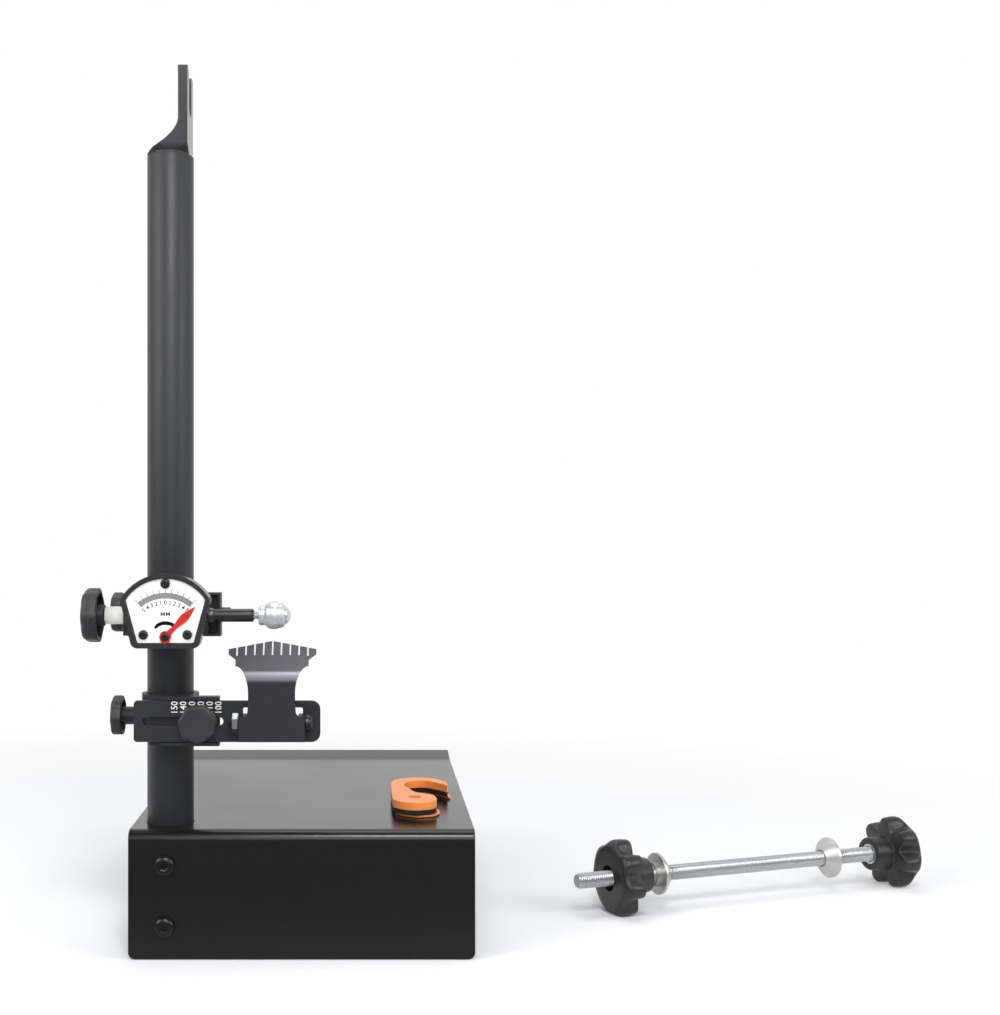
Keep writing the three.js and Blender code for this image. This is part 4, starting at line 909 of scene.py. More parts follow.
# %% Dish clamp
ring_half = 13.5 * mm
channel_left, channel_floor, channel_sheet, channel_edge = -9 * mm, 1.9 * mm, 3.5 * mm, 0.35 * mm
block_right, lip_left = 16 * mm, -2 * mm
lock_boss_radius, lock_boss_back = 4.5 * mm, 9.7 * mm
bar_half = 11.7 * mm

channel_low, channel_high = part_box("dish_clamp")
dish_height = (channel_low.z + channel_high.z) / 2
lock_low, lock_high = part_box("bar_lock_knob")
lock_x = (lock_low.x + lock_high.x) / 2

dish_clamp = clamp("dish_clamp_piece", dish_height - ring_half, dish_height + ring_half,
                   channel_high.y, dish_height)
work(dish_clamp, "UNION",
     block(channel_left, channel_high.x, channel_floor, channel_floor + channel_sheet,
           channel_low.z, channel_high.z),
     block(channel_left, block_right, channel_floor, pad_back, channel_low.z, channel_high.z),
     prism(circle(lock_x, dish_height, lock_boss_radius, 40), "Y", channel_floor + clearance,
           lock_boss_back),
     *[block(lip_left, channel_high.x, channel_low.y, channel_floor + clearance, floor, top)
       for floor, top in ((channel_low.z, dish_height - bar_half - running_gap),
                          (dish_height + bar_half + running_gap, channel_high.z))])
work(dish_clamp, "DIFFERENCE", column_bore(channel_low.z, channel_high.z))
soften(dish_clamp, black_coat, channel_edge)
dress(dish_clamp, "dish", "black_coat", "dish_clamp")

# %% [markdown]
# ## Hand knobs
# Every clamp screw has the same kind of moulded knob: seven lobes round a hub, a rounded front
# edge and a hollow back. The turned part tree does all of it, because the rim follows the lobes
# and the hub doesn't.

# %% Knobs
knob_edge = 0.4 * mm      # the small rounds of every knob
stud_size = {"radius": 3 * mm, "pitch": 1 * mm}
stud_groove = 0.35 * mm
side_knob = {"hub_radius": 5.2 * mm, "hub_length": 7.1 * mm, "hollow": 4 * mm, "wall": 2 * mm,
             "front_round": 1.8 * mm, "lobe_depth": 0.075}


def knob(name, origin, axis, length, radius, spin, hub_radius, hub_length, hollow, wall,
         front_round, lobe_depth):
    """A lobed knob whose hub starts at the origin and whose front looks along the axis."""
    small, corner, inner = knob_edge, 3 * knob_edge, radius - wall
    back, floor = hub_length, hub_length + hollow
    rim = [(floor, inner - 2 * small), (floor - small, inner - small), (back + small, inner),
           (back, inner + small), (back, radius - corner)]
    rim += [(back + corner * (1 - math.cos(turn)), radius - corner * (1 - math.sin(turn)))
            for turn in [share * math.pi / 2 for share in (0.33, 0.66, 1.0)]]
    rim += [(length - front_round * (1 - math.sin(turn)),
             radius - front_round * (1 - math.cos(turn)))
            for turn in [step / 8 * math.pi / 2 for step in range(9)]]
    rim += [(length, radius - 1.6 * front_round), (length, radius * 0.6)]
    rows = [(0, 0), (0, hub_radius - small), (small, hub_radius), (floor - small, hub_radius),
            (floor, hub_radius + small), *[(*row, "lobed") for row in rim],
            (length, radius * 0.34), (length, 0)]
    return turned(name, rows, origin, axis, dark_plastic, steps=140, spin=spin, lobes=7,
                  lobe_depth=lobe_depth)


def threaded_bar(start, end, radius, pitch, chamfer=0.5 * mm):
    """Profile of a threaded bar with chamfered ends, six rows to each turn of the thread."""
    first, length = start + chamfer, end - start - 2 * chamfer
    samples = int(length / pitch * 6)
    return [(start, 0), (start, radius - chamfer),
            *[(first + length * step / samples, radius, "threaded")
              for step in range(samples + 1)],
            (end, radius - chamfer), (end, 0)]


for clamp_name, height in (("gauge_clamp", gauge_height), ("dish_clamp", dish_height)):
    low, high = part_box(clamp_name + "_knob")
    head = knob(clamp_name + "_screw_head", (high.x, column_y, height), (-1, 0, 0),
                high.x - low.x, (high.y - low.y) / 2, 8, **side_knob)
    dress(head, clamp_name + "_screw", "dark_plastic", clamp_name + "_knob")
    low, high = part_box(clamp_name + "_stud")
    stud = turned(clamp_name + "_screw_stud", threaded_bar(low.x, high.x, **stud_size),
                  (0, column_y, height), (1, 0, 0), zinc, steps=36, pitch=stud_size["pitch"],
                  thread_depth=stud_groove)
    dress(stud, clamp_name + "_screw", "zinc", clamp_name + "_stud")

# %% [markdown]
# ## Dial gauge
# The gauge is a moulded case with an arched top. A raised rim frames the white face. The arch
# meets the straight sides in a small radius, and the outline finds that radius by geometry:
# its centre is one radius in from the side and from the arch.

# %% Outline of the case
pivot = Vector((3, 0, 184.4)) * mm
case_floor_half, case_half = 18.5 * mm, 25 * mm
case_below, case_above, case_wide = 6.4 * mm, 35.1 * mm, 20.5 * mm
foot_radius, least_foot_radius = 4 * mm, 1 * mm
shoulder_fillet, least_fillet = 3.5 * mm, 0.8 * mm


def case_outline(margin):
    """The arched outline of the dial case, moved inwards by the margin."""
    low = pivot.z - case_below + margin
    top = pivot.z + case_above - margin
    foot_x, wide_x = case_floor_half - margin, case_half - margin
    wide_z = pivot.z + case_wide
    rise = top - wide_z
    arch = (wide_x ** 2 + rise ** 2) / (2 * rise)
    foot_corner = Vector((foot_x, low))
    side = (Vector((wide_x, wide_z)) - foot_corner).normalized()
    inward = Vector((-side.y, side.x))
    outward = math.degrees(math.atan2(-inward.y, -inward.x))
    bottom = max(foot_radius - margin, least_foot_radius)
    upper = max(shoulder_fillet - margin, least_fillet)
    corner_x = foot_x - bottom * (1 - side.x) / side.y
    start = foot_corner + inward * upper - Vector((0, top - arch))
    along = start.dot(side)
    along = -along + math.sqrt(along ** 2 - start.length_squared + (arch - upper) ** 2)
    centre = start + side * along
    top_angle = math.degrees(math.atan2(centre.y, centre.x))
    half = (arc(corner_x, low + bottom, bottom, -90, outward, 8)
            + arc(centre.x, centre.y + top - arch, upper, outward, top_angle, 8)
            + arc(0, top - arch, arch, top_angle, 90, 24)[1:-1] + [(0, top)])
    return moved(both_sides(half), pivot.x, 0)


print("case outline:", len(case_outline(0)), "points")

# %% Case and face
rim_width, rim_step, rim_edge, face_edge = 2.6 * mm, 1.2 * mm, 1.15 * mm, 0.1 * mm
body_front, back_wall = -10 * mm, 2 * mm
gauge_half, barrel_left, barrel_right = 11 * mm, -22 * mm, 25 * mm
plunger_y = -3 * mm
spring_bore, spring_bore_left, spring_bore_right = 5.3 * mm, -30 * mm, 8 * mm
rod_bore, rod_bore_right = 4.05 * mm, 30 * mm
screw_rise, low_screw_rise, low_screw_half, screw_hole = 29.4 * mm, 1.1 * mm, 12.2 * mm, 1.5 * mm
window_radius, window_half, window_angle = 7.5 * mm, 0.85 * mm, 46
segment_radius, segment_angle = 8.65 * mm, 42

body_low, body_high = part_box("gauge_body")
face_low, face_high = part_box("dial_face")
screw_places = moved([(0, screw_rise), (-low_screw_half, low_screw_rise),
                      (low_screw_half, low_screw_rise)], pivot.x, pivot.z)

case = prism(case_outline(0), "Y", body_low.y, body_front + overlap, "gauge_case")
work(case, "UNION", block(barrel_left, barrel_right, body_front, body_high.y,
                          gauge_height - gauge_half, gauge_height + gauge_half))
work(case, "DIFFERENCE",
     prism(case_outline(rim_width), "Y", body_low.y - past, face_high.y + clearance),
     prism(case_outline(rim_width + rim_step), "Y", body_low.y, body_front - back_wall),
     prism(circle(plunger_y, gauge_height, spring_bore, 48), "X", spring_bore_left,
           spring_bore_right),
     prism(circle(plunger_y, gauge_height, rod_bore, 48), "X", 0, rod_bore_right))
soften(case, case_plastic, rim_edge, 5)
dress(case, "gauge", "black_case", "gauge_body")


def drive_window():
    """The curved slot above the pivot, with round ends."""
    left, right = 90 + window_angle, 90 - window_angle
    ends = [arc(window_radius * math.cos(math.radians(side)),
                window_radius * math.sin(math.radians(side)), window_half, start, start + 180, 8)
            for side, start in ((left, left), (right, right + 180))]
    return (arc(0, 0, window_radius + window_half, right, left, 24) + ends[0][1:]
            + arc(0, 0, window_radius - window_half, left, right, 24)[1:] + ends[1][1:-1])


face = prism(case_outline(rim_width + clearance), "Y", face_low.y, face_high.y, "dial_plate")
holes = [moved(drive_window(), pivot.x, pivot.z),
         arc(pivot.x, pivot.z, segment_radius, 90 - segment_angle, 90 + segment_angle, 24)]
holes += [circle(x, z, screw_hole, 32) for x, z in screw_places + [(pivot.x, pivot.z)]]
work(face, "DIFFERENCE", *[through(hole, "Y", face_low.y, face_high.y) for hole in holes])
soften(face, dial_white, face_edge, 1)
dress(face, "gauge", "white_face", "dial_face")

# %% Dial screws
dial_screw = {"length": 4 * mm, "head_radius": 2.7 * mm, "head_height": 1.7 * mm,
              "socket_radius": 1.25 * mm, "socket_depth": 1.1 * mm, "shank_radius": 1.2 * mm,
              "rim": 0.12 * mm}
screws = [socket_screw(f"dial_screw_{i}", (x, face_low.y - clearance / 2, z), dark_steel,
                       25 * i, **dial_screw) for i, (x, z) in enumerate(screw_places)]
dress(gather("dial_screws", screws), "gauge", "dark_steel", "dial_screw_top",
      "dial_screw_left", "dial_screw_right")

# %% [markdown]
# ## Printed scales
# The dial has eleven ticks, a grey band and numbers, and the bar has numbers too. Ticks are one
# small box repeated along an arc or a line, which is a job for Geometry Nodes. Numbers are
# text objects turned into meshes. All of them stand a few hundredths of a millimetre proud, as
# printed ink does.

# %% Tree for rows of marks


def marks_tree():
    """Boxes in a row along X, or on an arc above the origin, the middle one upright."""
    tree, ask = node_tree("row_of_marks", {
        "Start": "Geometry", "Count": "Int", "Spacing": "Float", "Radius": "Float",
        "Angle Step": "Float", "Size": "Vector", "Finish": "Material"}, "Marks")
    do = partial(calc, tree)
    line = put(tree, "GeometryNodeMeshLine", {"Count": ask["Count"]})
    number = put(tree, "GeometryNodeInputIndex").outputs[0]
    step = do("SUBTRACT", number, do("MULTIPLY", do("SUBTRACT", ask["Count"], 1.0), 0.5))
    angle = do("MULTIPLY", step, ask["Angle Step"])
    place = put(tree, "ShaderNodeCombineXYZ", {
        "X": do("MULTIPLY_ADD", do("SINE", angle), ask["Radius"],
                do("MULTIPLY", step, ask["Spacing"])),
        "Z": do("MULTIPLY", do("COSINE", angle), ask["Radius"])})
    spots = put(tree, "GeometryNodeSetPosition", {"Geometry": line.outputs["Mesh"],
                                                   "Position": place.outputs[0]})
    cube = put(tree, "GeometryNodeMeshCube", {"Size": ask["Size"]})
    turn = put(tree, "ShaderNodeCombineXYZ", {"Y": angle})
    copies = put(tree, "GeometryNodeInstanceOnPoints", {
        "Points": spots.outputs[0], "Instance": cube.outputs["Mesh"],
        "Rotation": turn.outputs[0]})
    return end_tree(tree, copies.outputs[0], ask["Finish"])


marks = marks_tree()


def grown(name, tree, sizes):
    """A piece from a tree that makes its whole shape by itself, put on a single point."""
    mesh = bpy.data.meshes.new(name)
    mesh.from_pydata([(0, 0, 0)], [], [])
    return nodes_on(linked(name, mesh), tree, sizes)


def marked(name, place, count, size, material, spacing=0.0, radius=0.0, angle_step=0.0):
    """A row or an arc of small boxes round a place."""
    piece = grown(name, marks, {"Count": count, "Spacing": spacing, "Radius": radius,
                                "Angle Step": angle_step, "Size": size, "Finish": material})
    piece.data.transform(Matrix.Translation(place))
    return piece


print("row of marks tree:", len(marks.nodes), "nodes")

# %% Lettering
cap_share = 0.69          # height of a digit as a share of the font's size
ink = 0.04 * mm
letter_weld = 0.001 * mm


def lettering(name, entries, height, middle, material, weight=0.07 * mm, length=None):
    """Numbers on a face that looks to the front. Each entry is (text, x, z, turn in degrees),
    and the middle of the ink's depth is at the given y. A length squeezes each text."""
    shape = bmesh.new()
    for text, x, z, turn in entries:
        curve = bpy.data.curves.new(name, "FONT")
        curve.body = text
        curve.size = height / cap_share
        curve.extrude = ink / 2
        curve.offset = weight
        curve.resolution_u = 3
        holder = linked(name, curve)
        letters = evaluated(holder)
        spots = [vertex.co for vertex in letters.vertices]
        first, last = [Vector([pick(spot[i] for spot in spots) for i in range(3)])
                       for pick in (min, max)]
        squeeze = length / (last.x - first.x) if length else 1
        letters.transform(
            Matrix.Translation((x, middle, z)) @ Matrix.Rotation(math.radians(-turn), 4, "Y")
            @ Matrix.Rotation(math.pi / 2, 4, "X") @ Matrix.Diagonal((squeeze, 1, 1, 1))
            @ Matrix.Translation(-(first + last) / 2))
        shape.from_mesh(letters)
        bpy.data.objects.remove(holder)
        bpy.data.curves.remove(curve)
        bpy.data.meshes.remove(letters)
    bmesh.ops.remove_doubles(shape, verts=shape.verts, dist=letter_weld)
    return built(name, shape, [material])


print("lettering ready, ink in mm:", ink / mm)

# %% Marks on the dial
ink_middle = face_low.y - ink / 2
tick_step = 7.85          # degrees from tick to tick
tick_width, tick_length = 0.48 * mm, 2.1 * mm
band_inner, band_outer, band_half_angle = 21.2 * mm, 24.4 * mm, 39.6
digit_radius, digit_height = 19 * mm, 2.35 * mm
unit_rise, unit_length, unit_weight = 12.6 * mm, 5.3 * mm, 0.02 * mm

start, end = 90 - band_half_angle, 90 + band_half_angle
band = prism(arc(pivot.x, pivot.z, band_outer, start, end, 40)
             + arc(pivot.x, pivot.z, band_inner, end, start, 40), "Y", face_low.y - ink,
             face_low.y, "dial_band")
soften(band, ink_grey, 0)
ticks = marked("dial_ticks", (pivot.x, ink_middle, pivot.z), 11, (tick_width, ink, tick_length),
               ink_grey, radius=band_outer + tick_length / 2, angle_step=math.radians(tick_step))
dial_numbers = [(str(abs(step)),
                 pivot.x + digit_radius * math.sin(math.radians(step * tick_step)),
                 pivot.z + digit_radius * math.cos(math.radians(step * tick_step)),
                 -step * tick_step) for step in range(-5, 6)]
digits = lettering("dial_digits", dial_numbers, digit_height, ink_middle, ink_black)
unit = lettering("dial_unit", [("MM", pivot.x, pivot.z + unit_rise, 0)], digit_height,
                 ink_middle, ink_black, unit_weight, unit_length)
for piece in (band, ticks, digits, unit):
    dress(piece, "gauge", "white_face")

# %% [markdown]
# ## Pointer
# The pointer is a flat red hand with a waisted neck, a round hub and a short tail that hangs
# straight down at rest. A pin behind it reaches through the window to the fork on the plunger.

# %% Pointer
hand_rest = 45            # degrees to the right of upright
hand_thickness, hand_edge, hand_hub, neck_angle = 1 * mm, 0.16 * mm, 3.2 * mm, 24
tail_radius, tail_half_angle = 3.7 * mm, 44
pin_radius, hand_hole = 0.7 * mm, 1.4 * mm
hand_table = [            # half width and distance from the pivot, in millimetres
    (1.5625, 2.9), (1.25, 5.5), (1.25, 8), (1.55, 10), (2.05, 12.2), (2.3, 14), (2.25, 15.6),
    (1.75, 18), (0.15, 23.4)]
pivot_screw = {"length": 4 * mm, "head_radius": 2.35 * mm, "head_height": 1.4 * mm,
               "socket_radius": 1.05 * mm, "socket_depth": 0.9 * mm, "shank_radius": 1.1 * mm,
               "rim": 0.12 * mm}
pointer_low, pointer_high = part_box("pointer")


def hand_outline():
    """The hand pointing up, round the pivot, with a tail that hangs down at rest."""
    tail_start, tail_end = [270 + hand_rest + side for side in (-tail_half_angle, tail_half_angle)]
    return (both_sides([(x * mm, z * mm) for x, z in hand_table])
            + arc(0, 0, hand_hub, 90 + neck_angle, tail_start, 16)
            + arc(0, 0, tail_radius, tail_start, tail_end, 10)
            + arc(0, 0, hand_hub, tail_end, 450 - neck_angle, 8))


def at_rest(points):
    """Turn points clockwise to the hand's rest, about the pivot."""
    c, s = math.cos(math.radians(hand_rest)), math.sin(math.radians(hand_rest))
    return [(pivot.x + x * c + z * s, pivot.z - x * s + z * c) for x, z in points]


hand = prism(at_rest(hand_outline()), "Y", pointer_low.y, pointer_low.y + hand_thickness,
             "pointer_hand")
work(hand, "DIFFERENCE", through(circle(pivot.x, pivot.z, hand_hole, 32), "Y",
                                 pointer_low.y, pointer_high.y))
work(hand, "UNION", prism(at_rest(circle(0, window_radius, pin_radius, 24)), "Y",
                          pointer_low.y + hand_thickness / 2, pointer_high.y))
soften(hand, red_enamel, hand_edge, 2, 40)
dress(hand, "pointer", "red_paint", "pointer")
dress(socket_screw("pivot_screw", (pivot.x, pointer_low.y - clearance / 2, pivot.z), dark_steel,
                   10, **pivot_screw), "gauge", "dark_steel", "pointer_screw")

# %% [markdown]
# ## Plunger and tip
# The plunger is a black rod with a pull knob on its left end, a white nylon collar that it
# slides in, and a bright tip. The tip is a turned body that holds a ball, which runs on the
# rim. All of it is turned, with grooves where the tip's parts meet.

# %% Plunger
pull_knob = {"hub_radius": 6.1 * mm, "hub_length": 2.8 * mm, "hollow": 6 * mm,
             "wall": 2.8 * mm, "front_round": 3.4 * mm, "lobe_depth": 0.07}
collar_radius, collar_bore, collar_edge = 5 * mm, 3.4 * mm, 0.4 * mm
thin, thick, rod_step, rod_edge = 3 * mm, 3.7 * mm, 6.5 * mm, 0.8 * mm
socket_hole, socket_bottom = 2.5 * mm, 7 * mm
nose_table = [            # along X and out from the plunger's line, in millimetres
    (24, 4), (24, 4.5), (27.4, 4.5), (27.9, 4.35), (28.2, 4), (24, 4)]


def on_line(name, profile, material, start=0.0, **options):
    """Turn a part on the plunger's line; distances count along X from the start."""
    return turned(name, profile, (start, plunger_y, gauge_height), (1, 0, 0), material,
                  **options)


low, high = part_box("plunger_knob")
dress(knob("plunger_knob_piece", (high.x, plunger_y, gauge_height), (-1, 0, 0), high.x - low.x,
           (high.y - low.y) / 2, 12, **pull_knob), "plunger_knob", "dark_plastic",
      "plunger_knob")
low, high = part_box("plunger_bush")
dress(on_line("nylon_collar", ring_profile(low.x, high.x, collar_radius, collar_bore,
                                           collar_edge), nylon, steps=72),
      "gauge", "nylon", "plunger_bush")
low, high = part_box("plunger_rod")
dress(on_line("plunger_rod_piece", [
    (low.x, 0), (low.x, thin - rod_edge), (low.x + rod_edge, thin), (rod_step, thin),
    (rod_step, thick), (high.x - rod_edge, thick), (high.x, thick - rod_edge),
    (high.x, socket_hole), (high.x - socket_bottom, socket_hole), (high.x - socket_bottom, 0)],
    rod_black, steps=72), "plunger", "black_rod", "plunger_rod")
dress(on_line("barrel_nose", [(along * mm, out * mm) for along, out in nose_table],
              case_plastic, steps=64), "gauge", "black_case")

# %% [markdown]
# The return spring sits round the rod between the collar and a fork inside the case. A Spiral
# curve is its centre line, and Curve to Mesh sweeps a round wire along it.

# %% Return spring
spring_turns, spring_radius, spring_travel, wire_radius = 6.0, 4.1 * mm, 11.4 * mm, 0.42 * mm
wire_sharp = 60           # degrees, more than the turn between two faces of the wire


def coil_tree():
    """A round wire along a helix that starts at the origin and climbs along Z."""
    tree, ask = node_tree("coil_spring", {
        "Start": "Geometry", "Turns": "Float", "Length": "Float", "Radius": "Float",
        "Wire Radius": "Float", "Finish": "Material"}, "Spring")
    centre = put(tree, "GeometryNodeCurveSpiral", {
        "Resolution": 20, "Rotations": ask["Turns"], "Start Radius": ask["Radius"],
        "End Radius": ask["Radius"], "Height": ask["Length"]})
    wire = put(tree, "GeometryNodeCurvePrimitiveCircle", {"Resolution": 10,
                                                           "Radius": ask["Wire Radius"]})
    swept = put(tree, "GeometryNodeCurveToMesh", {
        "Curve": centre.outputs[0], "Profile Curve": wire.outputs[0], "Fill Caps": True})
    return end_tree(tree, swept.outputs[0], ask["Finish"])


spring_low, spring_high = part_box("plunger_spring")
spring_length = (spring_high - spring_low).x
spring = grown("return_spring", coil_tree(), {
    "Turns": spring_turns, "Length": spring_length - 3 * wire_radius, "Radius": spring_radius,
    "Wire Radius": wire_radius, "Finish": zinc})
face_outwards(spring.data)
spring.data.transform(stood_on((spring_low.x + 1.5 * wire_radius, plunger_y, gauge_height),
                               (1, 0, 0)))
dress(smooth(spring, wire_sharp), "plunger", "zinc", "plunger_spring")
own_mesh(spring)
print("spring in mm:", round(spring_length / mm, 1))

# %% Tip
tip_stud, tip_groove = {"radius": 2.15 * mm, "pitch": 0.8 * mm}, 0.25 * mm
collar_start = 53.7 * mm
tip_table = [             # from the collar's face, in millimetres along and out
    (0, 4.9), (0.2, 5.3), (0.55, 5.5), (1.1, 5.6), (2.7, 5.62), (3.1, 5.55), (3.4, 5.6),
    (3.8, 6.0), (4.4, 6.55), (5.2, 7.1), (6.2, 7.55), (7.3, 7.8), (8.4, 7.85), (9.6, 7.78),
    (10.7, 7.55), (11.5, 7.25), (11.75, 7.05), (12.0, 7.05), (12.2, 7.15), (12.8, 7.0),
    (13.7, 6.6), (14.65, 5.85)]

tip_low, tip_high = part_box("tip_body")
ball_low, ball_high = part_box("tip_ball")
ball_x = (ball_low.x + ball_high.x) / 2
ball_radius = (ball_high.x - ball_low.x) / 2
cup_radius = ball_radius + running_gap
mouth_angle = math.degrees(math.acos((tip_high.x - ball_x) / cup_radius))
tip = on_line("tip_holder", [
    (tip_low.x, 0), *[(along, out, "threaded") for along, out, *_ in
                      threaded_bar(tip_low.x, collar_start, **tip_stud)[1:-1]],
    *[(collar_start + along * mm, out * mm) for along, out in tip_table],
    *arc(ball_x, 0, cup_radius, mouth_angle, 180, 16)[:-1], (ball_x - cup_radius, 0)],
    tip_steel, steps=96, pitch=tip_stud["pitch"], thread_depth=tip_groove)
dress(tip, "plunger", "zinc", "tip_body")
dress(on_line("tip_ball_piece", arc(0, 0, ball_radius, 180, 0, 40), ball_steel, ball_x,
              steps=80), "tip_ball", "polished_ball", "tip_ball")

# %% [markdown]
# ## Slide bar
# The bar is a flat strip with a long slot, a window behind the plate and two lugs for the
# plate's hinge. Its front carries numbers that are read sideways.

# %% Slide bar
bar_front, bar_back, bar_edge = -1.4 * mm, 1.6 * mm, 0.3 * mm
bar_corners = (2 * mm, 5 * mm, 5 * mm, 2 * mm)
slot_left, slot_right, slot_rise = -12.5 * mm, 33.4 * mm, 2.4 * mm
dish_x, hinge_y, hinge_hole = 61.5 * mm, bar_front - 5.9 * mm, 2.8 * mm
lug_half, lug_outer, lug_inner = 4.3 * mm, 17 * mm, 14.6 * mm
gap_half, gap_rise, gap_corner = 17 * mm, 7.9 * mm, 1 * mm      # the window behind the plate
number_left, number_pitch, number_rise = 5.6 * mm, 5 * mm, 8.2 * mm
number_height, number_length, number_weight = 3.6 * mm, 6.3 * mm, 0.03 * mm

bar_low, bar_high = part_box("slide_bar")
bar = prism(rounded(bar_low.x, bar_high.x, bar_low.z, bar_high.z, *bar_corners), "Y",
            bar_front, bar_back, "slide_bar_piece")
work(bar, "DIFFERENCE",
     through(arc(slot_left + slot_rise, dish_height, slot_rise, 90, 270, 16)
             + arc(slot_right - slot_rise, dish_height, slot_rise, -90, 90, 16), "Y",
             bar_front, bar_back),
     block(dish_x - lug_inner, dish_x + lug_inner, bar_front - past, bar_back + past,
           dish_height - lug_half, dish_height + gap_rise),
     through(rounded(dish_x - gap_half, dish_x + gap_half, dish_height + lug_half,
                     dish_height + gap_rise, 0, 0, gap_corner, gap_corner), "Y",
             bar_front, bar_back))
lug = arc(hinge_y, dish_height, lug_half, 90, 270, 20) + [
    (bar_back - clearance, dish_height - lug_half), (bar_back - clearance, dish_height + lug_half)]
for start in (dish_x - lug_outer, dish_x + lug_inner):
    work(bar, "UNION", prism(lug, "X", start, start + lug_outer - lug_inner))
work(bar, "DIFFERENCE", through(circle(hinge_y, dish_height, hinge_hole, 32), "X",
                                dish_x - lug_outer, dish_x + lug_outer))
soften(bar, black_coat, bar_edge)
dress(bar, "bar", "black_coat", "slide_bar")

bar_numbers = [(str(150 - 10 * step), number_left + number_pitch * step,
                dish_height + number_rise, 90) for step in range(6)]
dress(lettering("bar_numbers", bar_numbers, number_height, bar_front - ink / 2, ink_white,
                number_weight, number_length), "bar", "black_coat")

# %% [markdown]
# ## Lock knob
# A small knob in front of the slot clamps the bar in its channel.

# %% Lock knob and washer
lock_sizes = {"hub_radius": 4.5 * mm, "hub_length": 5 * mm, "hollow": 4 * mm, "wall": 2 * mm,
              "front_round": 1.7 * mm, "lobe_depth": 0.085}
washer_radius, washer_bore, washer_edge = 4.8 * mm, 2.3 * mm, 0.15 * mm

dress(knob("lock_knob_piece", (lock_x, lock_high.y, dish_height), (0, -1, 0),
           lock_high.y - lock_low.y, (lock_high.x - lock_low.x) / 2, 18, **lock_sizes),
      "bar_lock", "dark_plastic", "bar_lock_knob")
low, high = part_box("bar_lock_washer")
dress(turned("lock_washer_piece", ring_profile(-high.y, -low.y, washer_radius, washer_bore,
                                               washer_edge),
             (lock_x, 0, dish_height), (0, -1, 0), zinc, steps=64),
      "bar_lock", "zinc", "bar_lock_washer")

# %% [markdown]
# ## Dish plate
# The plate is a fan of thin steel, bent back above its waist and folded into two ears at its
# foot. It is cut as the real one would be: the bent strip is trimmed by the front outline, and
# the nine cut marks are one row from the marks tree, used as the cutting tool.

# %% Dish plate
plate_sheet, plate_edge = 1.2 * mm, 0.12 * mm
plate_front, plate_foot, plate_peak = -6 * mm, -10 * mm, 45.6 * mm     # from the hinge axis
ear_outer, ear_rise, ear_back, ear_cut = 18.6 * mm, 4.2 * mm, 4.4 * mm, -3.2 * mm
ear_slope, ear_dip = 1 * mm, 0.8 * mm
neck_table = [(14.8, 4.5), (13.6, 6), (13.45, 8), (13.15, 12)]     # half width and height, mm
waist_half, waist_rise = 13.15 * mm, 17 * mm
notch_half, notch_low, notch_high = 20.6 * mm, 32.1 * mm, 35.4 * mm
span_half, span_low, span_high = 24.75 * mm, 38.4 * mm, 41.2 * mm
bend_rise, bend_inner, lean = 26.4 * mm, 12 * mm, math.radians(33)
slit_pitch, slit_floor, slit_width = 5 * mm, 38 * mm, 0.85 * mm
slit_drop = 0.4 * mm      # the two outer cut marks reach lower


def fan_outline():
    """Front view of the plate about the hinge axis."""
    sweep = [math.pi / 2 * step / 16 for step in range(17)]
    return both_sides([
        (ear_outer, plate_foot), (ear_outer, ear_rise), *[(x * mm, z * mm) for x, z in neck_table],
        *[(waist_half + (notch_half - waist_half) * (1 - math.cos(turn)),
           waist_rise + (notch_low - waist_rise) * math.sin(turn)) for turn in sweep],
        (notch_half, notch_high), (span_half, span_low), (span_half, span_high),
        (0, plate_peak)])


climb = plate_peak - bend_rise + plate_sheet
middle_y = plate_front + plate_sheet / 2
fold = bent([(middle_y, plate_foot - past), (middle_y, bend_rise),
             (middle_y + climb * math.tan(lean), bend_rise + climb)], plate_sheet, bend_inner, 24)
plate = through(moved(fold, hinge_y, dish_height), "X", dish_x - span_half, dish_x + span_half,
                "dish_plate_piece")
work(plate, "INTERSECT", prism(moved(fan_outline(), dish_x, dish_height), "Y",
                               hinge_y - plate_peak, hinge_y + plate_peak))
for count, drop, pitch in ((9, 0, slit_pitch), (2, slit_drop, 8 * slit_pitch)):
    work(plate, "DIFFERENCE", marked(
        "slit_cutter", (dish_x, hinge_y, dish_height + slit_floor - drop + plate_peak / 2), count,
        (slit_width, 2 * plate_peak, plate_peak), plate_steel, spacing=pitch))
ear = [(plate_front, plate_foot), (ear_back - ear_slope, ear_cut - ear_dip), (ear_back, ear_cut),
       (ear_back, ear_rise - ear_slope), (ear_back - ear_slope, ear_rise),
       (plate_front, ear_rise)]
for start in (dish_x - ear_outer, dish_x + ear_outer - plate_sheet):
    work(plate, "UNION", prism(moved(ear, hinge_y, dish_height), "X", start,
                               start + plate_sheet))
work(plate, "DIFFERENCE", through(circle(hinge_y, dish_height, hinge_hole, 32), "X",
                                  dish_x - ear_outer, dish_x + ear_outer))
soften(plate, plate_steel, plate_edge)
dress(plate, "plate", "blue_steel", "dish_plate")

# %% Plate bolt and nut
bolt_stud, bolt_groove, bolt_rim = {"radius": 2.45 * mm, "pitch": 0.8 * mm}, 0.3 * mm, 0.15 * mm
bolt_socket, bolt_mouth, bolt_drill = 1.7 * mm, 1.9 * mm, 2.2 * mm
nut_bore, nut_collar, nut_foot, nut_start = 2.8 * mm, 3.9 * mm, 4.2 * mm, 0.25 * mm
nut_rise, nut_chamfer = 0.6 * mm, 0.4 * mm

